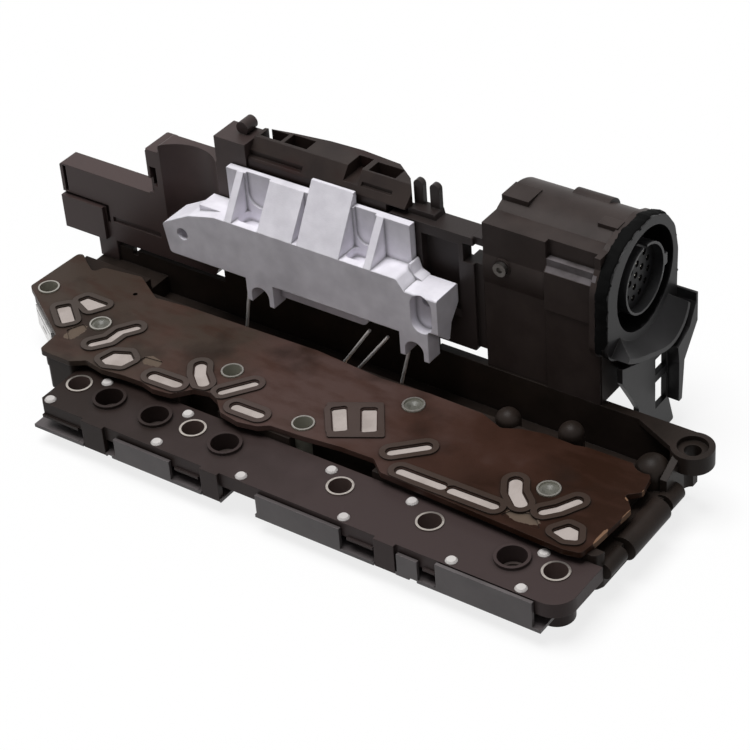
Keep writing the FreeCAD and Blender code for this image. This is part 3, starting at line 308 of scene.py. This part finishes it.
def add_bump(tree, shader, source, strength, distance, normal=None):
    """Fine relief from a value, over the given normal."""
    node = tree.nodes.new("ShaderNodeBump")
    node.inputs["Strength"].default_value = strength
    node.inputs["Distance"].default_value = distance
    tree.links.new(source, node.inputs["Height"])
    if normal:
        tree.links.new(normal, node.inputs["Normal"])
    tree.links.new(node.outputs["Normal"], shader.inputs["Normal"])


def used_surface(tree, shader, colour, edge_colour, wear_and_highlight, bump, least=0.3):
    """Joins a colour to the shader with painted shade in the corners, edges lightened by wear and painted
    highlight, and a fine grain.
    """
    normal = rounded_normal(tree)
    # Edges lightened in broken lines: partly wear, partly painted highlight.
    worn = mixed(tree, edge_mask(tree, normal, wear_and_highlight), shaded_in_corners(tree, colour, least=least), edge_colour)
    tree.links.new(worn, shader.inputs["Base Color"])
    add_bump(tree, shader, noise(tree, 900.0, 2.0), bump, 0.0002, normal)


def moulded(name, dark, light, rough=0.45, shine=0.3, stain=None, edge=EDGE_WEAR_AND_HIGHLIGHT, wear_and_highlight=0.35, highlight_zone=None):
    """Moulded plastic with a slight mottle, an optional stain in broad patches and an optional zone lightened
    as a painted highlight.
    """
    material, tree, shader = new_material(name)
    colour = ramp(tree, noise(tree, 60.0), [(0.35, dark), (0.65, light)])
    if stain:
        colour = mixed(tree, remapped(tree, noise(tree, 28.0, 4.0, seed=3.1), 0.48, 0.62), colour, stain)
    # Painted highlight: a pale colour in patches over one zone of the part.
    if highlight_zone:
        zone, pale = highlight_zone
        patchy = remapped(tree, noise(tree, 110.0, 3.0), 0.3, 0.55, 0.4, 1.0)
        colour = mixed(tree, value_node(tree, "MULTIPLY", zone_mask(tree, zone), patchy), colour, pale)
    used_surface(tree, shader, colour, edge, wear_and_highlight, 0.15)
    shader.inputs["Roughness"].default_value = rough
    shader.inputs["Specular IOR Level"].default_value = shine
    return material


def fading(name, left, right, span, shine, rough=0.45):
    """Moulded plastic whose colour changes along X, between two places on the part."""
    material, tree, shader = new_material(name)
    along = remapped(tree, place_on_part(tree, "X"), from_datum(span[0], 0)[0], from_datum(span[1], 0)[0])
    mottle = remapped(tree, noise(tree, 60.0), 0.3, 0.7, -0.15, 0.15)
    colour = ramp(tree, value_node(tree, "ADD", along, mottle), [(0.1, left), (0.9, right)])
    used_surface(tree, shader, colour, EDGE_WEAR_AND_HIGHLIGHT, 0.35, 0.15)
    shader.inputs["Roughness"].default_value = rough
    shader.inputs["Specular IOR Level"].default_value = shine
    return material


def metal(name, dark, light, rough):
    """Bare metal with a slight mottle and grain."""
    material, tree, shader = new_material(name)
    mottle = ramp(tree, noise(tree, 250.0), [(0.3, dark), (0.7, light)])
    tree.links.new(mottle, shader.inputs["Base Color"])
    shader.inputs["Metallic"].default_value = 1.0
    shader.inputs["Roughness"].default_value = rough
    add_bump(tree, shader, noise(tree, 1400.0, 2.0), 0.2, 0.0001)
    return material


def rim_metal(name, rim, hole_shade, rough):
    """Metal with a bright rim on faces turned upwards, and a dark colour on faces turned sideways down the
    hole: painted shade.
    """
    material, tree, shader = new_material(name)
    flat = remapped(tree, facing(tree, "Z"), 0.6, 0.9)
    speckle = remapped(tree, noise(tree, 500.0), 0.3, 0.7, 0.75, 1.0)
    colour = mixed(tree, value_node(tree, "MULTIPLY", flat, speckle), hole_shade, rim)
    tree.links.new(colour, shader.inputs["Base Color"])
    tree.links.new(flat, shader.inputs["Metallic"])
    shader.inputs["Roughness"].default_value = rough
    add_bump(tree, shader, noise(tree, 1400.0, 2.0), 0.2, 0.0001)
    return material


def plain(name, colour, rough, shine=0.3):
    """Even colour with a slight mottle and grain."""
    material, tree, shader = new_material(name)
    light = tuple(1.25 * part for part in colour)
    mottle = ramp(tree, noise(tree, 200.0), [(0.35, colour), (0.65, light)])
    tree.links.new(mottle, shader.inputs["Base Color"])
    shader.inputs["Roughness"].default_value = rough
    shader.inputs["Specular IOR Level"].default_value = shine
    add_bump(tree, shader, noise(tree, 1200.0, 2.0), 0.2, 0.0001)
    return material


def spot_mask(tree, spots):
    """1 inside rough-edged upright ovals: each spot is its middle and its half lengths, in millimetres."""
    rough = value_node(tree, "MULTIPLY", noise(tree, 350.0, 3.0), SPOT_ROUGHNESS)
    where = tree.nodes.new("ShaderNodeTexCoord")
    total = 0.0
    for x, y, half_x, half_y in spots:
        shift = tree.nodes.new("ShaderNodeVectorMath")
        shift.operation = "SUBTRACT"
        tree.links.new(where.outputs["Object"], shift.inputs[0])
        shift.inputs[1].default_value = (*from_datum(x, y), 0)
        scale = tree.nodes.new("ShaderNodeVectorMath")
        scale.operation = "MULTIPLY"
        tree.links.new(shift.outputs[0], scale.inputs[0])
        scale.inputs[1].default_value = (1000 / half_x, 1000 / half_y, 0)
        reach = tree.nodes.new("ShaderNodeVectorMath")
        reach.operation = "LENGTH"
        tree.links.new(scale.outputs[0], reach.inputs[0])
        edge = value_node(tree, "ADD", reach.outputs["Value"], rough)
        near = value_node(tree, "LESS_THAN", edge, SPOT_REACH)
        total = value_node(tree, "MAXIMUM", total, near)
    return total


def along_plate(tree, colours):
    """Colour that changes from the plate's left end to its right end, with an uneven border."""
    left = from_datum(PLATE_LEFT, 0)[0]
    right = from_datum(PLATE_RIGHT, 0)[0]
    along = remapped(tree, place_on_part(tree, "X"), left, right)
    uneven = remapped(tree, noise(tree, 24.0, 4.0, seed=1.7), 0.3, 0.7, -0.14, 0.14)
    return ramp(tree, value_node(tree, "ADD", along, uneven), list(zip(PLATE_PLACES, colours)))


def plate_share(tree):
    """1 over the left half of the plate, falling to 0 towards its right end."""
    return remapped(tree, place_on_part(tree, "X"), from_datum(230.0, 0)[0], from_datum(150.0, 0)[0])


def filter_plate_plastic():
    """Oil-stained plastic: olive, then grey, then dark brown along its length, with pale worn patches."""
    material, tree, shader = new_material("plate_plastic")
    ground = along_plate(tree, (PLATE_OLIVE, PLATE_GREY, PLATE_GREY, PLATE_BROWN, PLATE_RED))
    rust = remapped(tree, noise(tree, 30.0, 4.0, seed=4.4), 0.5, 0.66, 0.0, 0.6)
    ground = mixed(tree, value_node(tree, "MULTIPLY", rust, plate_share(tree)), ground, PLATE_RUST)
    streaks = remapped(tree, noise(tree, 45.0, 5.0, (1, 2.5, 1), 8.2), 0.48, 0.68, 0.0, 0.6)
    ground = mixed(tree, streaks, ground, PLATE_BROWN)
    oil = remapped(tree, noise(tree, 26.0, 4.0, seed=9.7), 0.54, 0.66, 0.0, 0.6)
    ground = mixed(tree, oil, ground, PLATE_OIL)
    worn = mixed(tree, spot_mask(tree, PALE_PATCHES), ground, PLATE_PALE)
    chipped = mixed(tree, spot_mask(tree, CHIPPED_EDGES), worn, PLATE_CHIP)
    # The last number lets the painted shade beside the raised seals go almost to the darkest colour.
    used_surface(tree, shader, chipped, (0.12, 0.085, 0.07), 0.4, 0.2, 0.05)
    shader.inputs["Roughness"].default_value = 0.45
    shader.inputs["Specular IOR Level"].default_value = 0.12
    return material


def seal_rubber():
    """Raised rims round the screens, a shade darker than the plate round them."""
    material, tree, shader = new_material("seal_rubber")
    colour = along_plate(tree, SEAL_COLOURS)
    used_surface(tree, shader, colour, (0.10, 0.08, 0.07), 0.3, 0.2, 0.05)
    shader.inputs["Roughness"].default_value = 0.5
    shader.inputs["Specular IOR Level"].default_value = 0.2
    return material


def woven_mesh():
    """Fine pale woven screen: two sets of threads across each other."""
    material, tree, shader = new_material("mesh")
    where = tree.nodes.new("ShaderNodeTexCoord")
    threads = []
    for direction in ("X", "Y"):
        wave = tree.nodes.new("ShaderNodeTexWave")
        wave.bands_direction = direction
        wave.inputs["Scale"].default_value = 450.0
        tree.links.new(where.outputs["Object"], wave.inputs["Vector"])
        threads.append(wave.outputs["Fac"])
    weave = value_node(tree, "MULTIPLY", *threads)
    unmarked = ramp(tree, weave, [(0.0, (0.50, 0.44, 0.41)), (0.8, (0.38, 0.325, 0.30))])
    soiled = remapped(tree, noise(tree, 90.0, 3.0), 0.45, 0.75, 0.0, 0.5)
    tree.links.new(mixed(tree, soiled, unmarked, (0.26, 0.215, 0.19)), shader.inputs["Base Color"])
    shader.inputs["Roughness"].default_value = 0.7
    add_bump(tree, shader, weave, 0.3, 0.0002)
    return material


def face_plastic():
    """Charcoal plastic whose flank is smeared with black sealant up to a pale ragged edge."""
    material, tree, shader = new_material("face_plastic")
    ground = ramp(tree, noise(tree, 40.0), [(0.35, (0.015, 0.0145, 0.015)), (0.65, (0.027, 0.026, 0.027))])
    sideways = value_node(tree, "LESS_THAN", value_node(tree, "ABSOLUTE", facing(tree, "X")), 0.3)
    ragged = remapped(tree, noise(tree, 260.0, 3.0, seed=2.2), 0.3, 0.7, -0.0009, 0.0009)
    behind = value_node(tree, "ADD", place_on_part(tree, "X"), ragged)
    smeared = value_node(tree, "LESS_THAN", behind, from_datum(FLANK_X + SMEAR_REACH, 0)[0])
    colour = mixed(tree, value_node(tree, "MULTIPLY", sideways, smeared), ground, (0.004, 0.004, 0.004))
    used_surface(tree, shader, colour, (0.16, 0.155, 0.155), 0.6, 0.15)
    shader.inputs["Roughness"].default_value = 0.4
    shader.inputs["Specular IOR Level"].default_value = 0.16
    return material


def clip_metal():
    """Bright sheet metal, painted dark along each slot: painted shade."""
    material, tree, shader = new_material("clip_metal")
    slot_shade = 0.0
    for zone in CLIP_SLOT_SHADE:
        slot_shade = value_node(tree, "MAXIMUM", slot_shade, zone_mask(tree, zone))
    sheet = ramp(tree, noise(tree, 180.0), [(0.3, (0.55, 0.54, 0.53)), (0.7, (0.82, 0.81, 0.80))])
    tree.links.new(mixed(tree, slot_shade, sheet, (0.02, 0.018, 0.016)), shader.inputs["Base Color"])
    shader.inputs["Metallic"].default_value = 0.85
    shader.inputs["Roughness"].default_value = 0.35
    add_bump(tree, shader, noise(tree, 400.0, 2.0), 0.3, 0.0002)
    return material


def cast_aluminium():
    """Sand-cast aluminium: pale, nearly matte, with a fine grain and grey smudges."""
    material, tree, shader = new_material("cast_aluminium")
    colour = ramp(tree, noise(tree, 120.0), [(0.3, (0.81, 0.785, 0.85)), (0.7, (0.94, 0.915, 0.98))])
    smudge = remapped(tree, noise(tree, 35.0, 4.0, seed=6.1), 0.5, 0.72, 0.0, 0.35)
    colour = mixed(tree, smudge, colour, (0.50, 0.48, 0.52))
    normal = rounded_normal(tree, 0.0007)
    # Painted shade: the colour darkens in corners and at the roots of the fins.
    tree.links.new(shaded_in_corners(tree, colour, 0.0025), shader.inputs["Base Color"])
    shader.inputs["Metallic"].default_value = 0.0
    shader.inputs["Specular IOR Level"].default_value = 0.25
    shader.inputs["Roughness"].default_value = 0.5
    add_bump(tree, shader, noise(tree, 1500.0, 3.0), 0.35, 0.0002, normal)
    return material


FACE = face_plastic()
MATERIALS = {
    "carrier": moulded("carrier_plastic", (0.014, 0.010, 0.008), (0.024, 0.017, 0.014), shine=0.12),
    "switch_strip": fading("strip_plastic", (0.019, 0.012, 0.010), (0.050, 0.035, 0.034), (0.0, 180.0), 0.15),
    "strip_cover": moulded("cover_plastic", (0.085, 0.073, 0.074), (0.115, 0.100, 0.101), 0.4, shine=0.4,
                           edge=(0.2, 0.18, 0.18)),
    "housing": fading("housing_plastic", HOUSING_LEFT, HOUSING_RIGHT, HOUSING_FADE, HOUSING_SHINE),
    "top_cover": moulded("top_plastic", (0.016, 0.010, 0.009), (0.028, 0.019, 0.016), shine=0.2,
                         stain=(0.020, 0.007, 0.006)),
    # The tower's ledge is painted pale: a painted highlight.
    "connector_tower": moulded("tower_plastic", (0.028, 0.020, 0.018), (0.043, 0.032, 0.029), shine=0.15,
                               highlight_zone=(TOWER_LEDGE_HIGHLIGHT, (0.15, 0.135, 0.14))),
    "connector_face": FACE,
    # The shroud's pale broken edges: partly wear, partly painted highlight.
    "connector_shroud": moulded("shroud_plastic", (0.030, 0.030, 0.031), (0.050, 0.050, 0.052), 0.3,
                                shine=0.2, edge=(0.22, 0.22, 0.22), wear_and_highlight=0.7),
    "bracket_open": FACE,
    "sealant": plain("sealant_rubber", (0.004, 0.004, 0.004), 0.7, 0.04),
    "face_gasket": plain("gasket_rubber", (0.005, 0.005, 0.005), 0.6, 0.1),
    "back_ribs": fading("rib_plastic", HOUSING_LEFT, HOUSING_RIGHT, HOUSING_FADE, HOUSING_SHINE),
    "spring_coil": metal("spring_steel", (0.5, 0.5, 0.5), (0.65, 0.65, 0.65), 0.3),
    "filter_plate": filter_plate_plastic(),
    "filter_screens": woven_mesh(),
    "plate_seals": seal_rubber(),
    "plate_ferrules": rim_metal("ferrule_steel", (0.42, 0.40, 0.37), (0.36, 0.35, 0.29), 0.4),
    "plate_rivets": plain("rivet_steel", (0.100, 0.098, 0.083), 0.4, 0.5),
    "strip_sleeves": rim_metal("sleeve_steel", (0.62, 0.57, 0.52), (0.13, 0.09, 0.08), 0.35),
    "heat_stakes": moulded("white_plastic", (0.56, 0.53, 0.52), (0.66, 0.63, 0.61), 0.5),
    "edge_clip": clip_metal(),
    "heat_sink": cast_aluminium(),
    "switch_seals": plain("port_rubber", (0.055, 0.042, 0.038), 0.5),
    "switch_discs": metal("disc_steel", (0.4, 0.4, 0.4), (0.5, 0.5, 0.5), 0.4),
    "solenoid_cans": metal("can_steel", (0.4, 0.4, 0.4), (0.5, 0.5, 0.5), 0.4),
    "valve_retainer": metal("strip_steel", (0.4, 0.4, 0.4), (0.5, 0.5, 0.5), 0.45),
    "retainer_screws": metal("screw_steel", (0.35, 0.34, 0.33), (0.45, 0.44, 0.43), 0.4),
    "lead_pins": metal("lead_metal", (0.80, 0.78, 0.76), (0.92, 0.90, 0.88), 0.5),
    "lead_tracks": metal("track_metal", (0.35, 0.20, 0.12), (0.45, 0.28, 0.17), 0.45),
    "connector_insert": moulded("insert_plastic", (0.006, 0.006, 0.007), (0.011, 0.011, 0.012), 0.4,
                                shine=0.15),
    "connector_pins": metal("pin_metal", (0.55, 0.52, 0.46), (0.7, 0.66, 0.58), 0.3),
    "frame_screw": metal("dark_screw", (0.12, 0.11, 0.10), (0.2, 0.19, 0.18), 0.4),
    "sink_gasket": plain("gasket_grey", (0.05, 0.05, 0.05), 0.6),
    "thermal_pads": plain("pad_grey", (0.4, 0.4, 0.42), 0.7),
    "control_board": plain("board_green", (0.02, 0.12, 0.05), 0.4),
    "connector_board": plain("board_green_small", (0.02, 0.12, 0.05), 0.4),
    "board_chips": plain("chip_black", (0.015, 0.015, 0.015), 0.4),
    "board_screws": metal("board_screw", (0.4, 0.4, 0.4), (0.5, 0.5, 0.5), 0.4),
    "flex_cable": plain("cable_film", (0.35, 0.16, 0.04), 0.35),
    "solenoid_coils": metal("coil_copper", (0.5, 0.25, 0.14), (0.6, 0.32, 0.18), 0.4),
    "valve_seats": metal("seat_steel", (0.45, 0.45, 0.45), (0.55, 0.55, 0.55), 0.35),
}
MOVING = metal("inner_steel", (0.5, 0.5, 0.5), (0.6, 0.6, 0.6), 0.3)
for node, piece in frame["nodes"].items():
    piece.data.materials.clear()
    piece.data.materials.append(MATERIALS.get(node, MOVING))


def in_frame(point):
    """Point in metres in the frame, from millimetres measured on the part."""
    return Vector((*from_datum(point[0], point[1]), point[2] / 1000))


def new_piece(name, mesh, material):
    """Piece of the fixed module, with its material, hung under the module's body."""
    piece = bpy.data.objects.new(name, mesh)
    bpy.context.scene.collection.objects.link(piece)
    mesh.materials.clear()
    mesh.materials.append(MATERIALS[material])
    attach(piece, "module")
    return piece


def tube_mesh(name, points, sides):
    """Closed tube through rings of points, each ring with the same number of sides."""
    faces = []
    for ring in range(len(points) // sides - 1):
        near = ring * sides
        far = near + sides
        for side in range(sides):
            after = (side + 1) % sides
            faces.append((near + side, near + after, far + after, far + side))
    faces.append(tuple(range(sides - 1, -1, -1)))
    faces.append(tuple(range(len(points) - sides, len(points))))
    mesh = bpy.data.meshes.new(name)
    mesh.from_pydata(points, [], faces)
    mesh.shade_smooth()
    return mesh


def cutting_box(low, high):
    """Box that a boolean takes away, between two corners in millimetres."""
    bpy.ops.mesh.primitive_cube_add(size=1)
    box = bpy.context.object
    low, high = in_frame(low), in_frame(high)
    box.scale = high - low
    box.location = (low + high) / 2
    return box


def open_bracket():
    """Bracket with its lower plate thinned from behind, so that the white shows through its windows."""
    solid = frame["nodes"]["tower_bracket"]
    rough = bpy.data.objects.new("bracket_rough", solid.data.copy())
    bpy.context.scene.collection.objects.link(rough)
    boxes = [cutting_box(low, high) for low, high in BRACKET_CUTS]
    for box in boxes:
        cut = rough.modifiers.new("cut", "BOOLEAN")
        cut.operation = "DIFFERENCE"
        cut.object = box
    bpy.context.view_layer.update()
    shaped = rough.evaluated_get(bpy.context.evaluated_depsgraph_get())
    mesh = bpy.data.meshes.new_from_object(shaped)
    for spare in (rough, *boxes):
        bpy.data.objects.remove(spare)
    piece = new_piece("bracket_open", mesh, "bracket_open")
    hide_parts("tower_bracket")


def flank_radius(tree, angle):
    """Distance from the socket's axis to the outside of the connector's face, in millimetres."""
    axis = in_frame((FLANK_X, BARREL_Y, BARREL_Z))
    out = Vector((0, math.cos(angle), math.sin(angle)))
    hit = tree.ray_cast(axis + out * OUTSIDE_FACE, -out)[0]
    return (hit - axis).length * 1000


def bead_ring(part, radius, out):
    """Points round the sealant at one place along it; it thins out towards both ends."""
    swell = min(1.0, BEAD_TAPER * part, BEAD_TAPER * (1 - part))
    middle = (BEAD_X[0] + BEAD_X[1]) / 2
    ring = []
    for rib in range(BEAD_RIBS):
        turn = 2 * math.pi * rib / BEAD_RIBS
        jolt = random_field.noise(out * BEAD_BROAD + Vector((rib * 0.35, 3.0, 0)))
        fine = random_field.noise(out * BEAD_FINE + Vector((rib * 0.8, 7.0, 0)))
        half = (BEAD_X[1] - BEAD_X[0]) / 2 * (1 + 0.35 * jolt + 0.2 * fine)
        proud = BEAD_HEIGHT * swell * math.sin(turn) * (1 + 0.5 * jolt + 0.4 * fine)
        place = in_frame((middle + half * math.cos(turn), BARREL_Y, BARREL_Z))
        ring.append(place + out * (radius - BEAD_SUNK + proud) / 1000)
    return ring


def sealant_bead():
    """Ragged black sealant squeezed out of the joint between the tower and the connector's face."""
    face = frame["nodes"]["connector_face"].data
    corners = [vertex.co.copy() for vertex in face.vertices]
    polygons = [tuple(polygon.vertices) for polygon in face.polygons]
    tree = BVHTree.FromPolygons(corners, polygons)
    points = []
    for step in range(BEAD_STEPS + 1):
        part = step / BEAD_STEPS
        angle = math.radians(BEAD_ARC[0] + (BEAD_ARC[1] - BEAD_ARC[0]) * part)
        out = Vector((0, math.cos(angle), math.sin(angle)))
        points += bead_ring(part, flank_radius(tree, angle), out)
    mesh = tube_mesh("sealant_bead", points, BEAD_RIBS)
    new_piece("sealant_bead", mesh, "sealant")


def coil_points(centre, first, last):
    """Rings of points along a coil with closed ends, between two heights in metres."""
    wire = SPRING_WIRE_R / 1000
    mean = (SPRING_R - SPRING_WIRE_R) / 1000
    up = Vector((0, 0, 1))
    points = []
    for step in range(SPRING_STEPS + 1):
        part = step / SPRING_STEPS
        turn = 2 * math.pi * SPRING_TURNS * part
        climb = min(1.0, max(0.0, (part - SPRING_CLOSED) / (1 - 2 * SPRING_CLOSED)))
        out = Vector((math.cos(turn), math.sin(turn), 0))
        middle = Vector((centre.x, centre.y, first + (last - first) * climb)) + out * mean
        for side in range(WIRE_SIDES):
            round_wire = 2 * math.pi * side / WIRE_SIDES
            off = out * math.cos(round_wire) + up * math.sin(round_wire)
            points.append(middle + off * wire)
    return points


def spring_coil(number):
    """Coil spring between an armature and its pole plate, built at one length to fill the spring's box in the
    model.
    """
    low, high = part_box("return_spring_%d" % number)
    centre = (low + high) / 2
    wire = SPRING_WIRE_R / 1000
    points = coil_points(centre, low.z + wire, high.z - wire)
    name = "spring_coil_%d" % number
    piece = new_piece(name, tube_mesh(name, points, WIRE_SIDES), "spring_coil")
    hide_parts("return_spring_%d" % number)
    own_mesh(piece)


def rib(shape, low, high):
    """Adds one rib between two corners in millimetres, with its edges taken off."""
    low, high = in_frame(low), in_frame(high)
    size = high - low
    place = Matrix.Translation((low + high) / 2) @ Matrix.Diagonal((*size, 1))
    corners = bmesh.ops.create_cube(shape, size=1, matrix=place)["verts"]
    edges = list({edge for corner in corners for edge in corner.link_edges})
    bmesh.ops.bevel(shape, geom=edges, offset=RIB_ROUNDING, segments=2, profile=0.5, affect="EDGES")


def boss(shape, x, z):
    """Adds one round boss on the back wall, with a blind screw hole."""
    sunk = WALL_BACK - RIB_SUNK
    face = WALL_BACK + BOSS_PROUD
    rings = (
        (BOSS_R, sunk), (BOSS_R, face - BOSS_CHAMFER), (BOSS_R - BOSS_CHAMFER, face),
        (BOSS_HOLE_R, face), (BOSS_HOLE_R, WALL_BACK),
    )
    loops = []
    for radius, y in rings:
        loop = []
        for side in range(BOSS_SIDES):
            turn = 2 * math.pi * side / BOSS_SIDES
            place = (x + radius * math.cos(turn), y, z + radius * math.sin(turn))
            loop.append(shape.verts.new(in_frame(place)))
        loops.append(loop)
    for near, far in zip(loops, loops[1:]):
        for side in range(BOSS_SIDES):
            after = (side + 1) % BOSS_SIDES
            shape.faces.new((near[side], far[side], far[after], near[after]))
    shape.faces.new(loops[0])
    shape.faces.new(loops[-1][::-1])


def back_ribs():
    """Stiffening ribs and screw bosses on the back, which the photograph doesn't show."""
    shape = bmesh.new()
    walls = ((FRAME_UPRIGHTS, WALL_BACK), (WING_UPRIGHTS, WALL_BACK), (TOWER_UPRIGHTS, TOWER_BACK))
    half = RIB_T / 2
    for uprights, wall in walls:
        for x, low_z, high_z in uprights:
            rib(shape, (x - half, wall - RIB_SUNK, low_z), (x + half, wall + RIB_PROUD, high_z))
    for z, low_x, high_x in FRAME_LEVELS + WING_LEVELS:
        rib(shape, (low_x, WALL_BACK - RIB_SUNK, z - half), (high_x, WALL_BACK + RIB_PROUD, z + half))
    for x, z in BACK_BOSSES:
        boss(shape, x, z)
    bmesh.ops.recalc_face_normals(shape, faces=shape.faces)
    mesh = bpy.data.meshes.new("back_ribs")
    shape.to_mesh(mesh)
    shape.free()
    new_piece("back_ribs", mesh, "back_ribs")


open_bracket()
sealant_bead()
back_ribs()
for number in range(1, len(frame["joints"]) + 1):
    spring_coil(number)


def camera():
    """Camera at the photograph's angle."""
    turn, height = math.radians(VIEW_TURN), math.radians(VIEW_HEIGHT)
    back = Vector((math.sin(turn) * math.cos(height), -math.cos(turn) * math.cos(height), math.sin(height)))
    data = bpy.data.cameras.new("camera")
    data.lens = LENS_MM
    data.sensor_width = 36.0
    data.clip_start = 0.05
    piece = bpy.data.objects.new("camera", data)
    level = back.to_track_quat("Z", "Y").to_matrix().to_4x4()
    tilt = Matrix.Rotation(-math.radians(VIEW_TILT), 4, "Z")
    piece.matrix_world = Matrix.Translation(VIEW_TARGET + back * VIEW_DISTANCE) @ level @ tilt
    bpy.context.scene.collection.objects.link(piece)
    bpy.context.scene.camera = piece


def seen_directly(tree):
    """1 for rays from the camera, from mirror-like surfaces and through clear ones, otherwise 0."""
    path = tree.nodes.new("ShaderNodeLightPath")
    total = path.outputs["Is Camera Ray"]
    for kind in ("Is Glossy Ray", "Is Transmission Ray"):
        total = value_node(tree, "MAXIMUM", total, path.outputs[kind])
    return total


def world():
    """Soft light from all round, which shows as plain white."""
    scene_world = bpy.data.worlds.new("studio")
    scene_world.use_nodes = True
    tree = scene_world.node_tree
    soft = tree.nodes["Background"]
    soft.inputs["Color"].default_value = (1, 1, 1, 1)
    soft.inputs["Strength"].default_value = WORLD_STRENGTH
    white = tree.nodes.new("ShaderNodeBackground")
    mix = tree.nodes.new("ShaderNodeMixShader")
    tree.links.new(seen_directly(tree), mix.inputs[0])
    tree.links.new(soft.outputs[0], mix.inputs[1])
    tree.links.new(white.outputs[0], mix.inputs[2])
    tree.links.new(mix.outputs[0], tree.nodes["World Output"].inputs["Surface"])
    bpy.context.scene.world = scene_world


def floor():
    """Plain floor under the feet: white to the eye, with a faint shadow and little light thrown up."""
    bpy.ops.mesh.primitive_plane_add(size=FLOOR_SIZE, location=(0, 0, -FLOOR_DROP))
    piece = bpy.context.object
    piece.name = "floor"
    material, tree, shader = new_material("floor_white")
    seen = seen_directly(tree)
    tree.links.new(mixed(tree, seen, FLOOR_THROWN, FLOOR_SEEN), shader.inputs["Base Color"])
    shader.inputs["Emission Color"].default_value = (1, 1, 1, 1)
    tree.links.new(value_node(tree, "MULTIPLY", seen, FLOOR_GLOW), shader.inputs["Emission Strength"])
    shader.inputs["Roughness"].default_value = 0.9
    shader.inputs["Specular IOR Level"].default_value = 0.0
    piece.data.materials.append(material)


def sky_lamp(name, direction, spread, power):
    """Broad even light from one side of the sky, with soft shadows."""
    data = bpy.data.lights.new(name, "SUN")
    data.angle = math.radians(spread)
    data.energy = power
    piece = bpy.data.objects.new(name, data)
    piece.rotation_euler = Vector(direction).to_track_quat("Z", "Y").to_euler()
    bpy.context.scene.collection.objects.link(piece)


camera()
world()
floor()
sky_lamp("overhead", (-0.12, -0.10, 1.0), 38.0, 2.75)
sky_lamp("side", (0.8, -0.6, 0.9), 40.0, 0.12)

scene = bpy.context.scene
scene.view_settings.view_transform = "Standard"
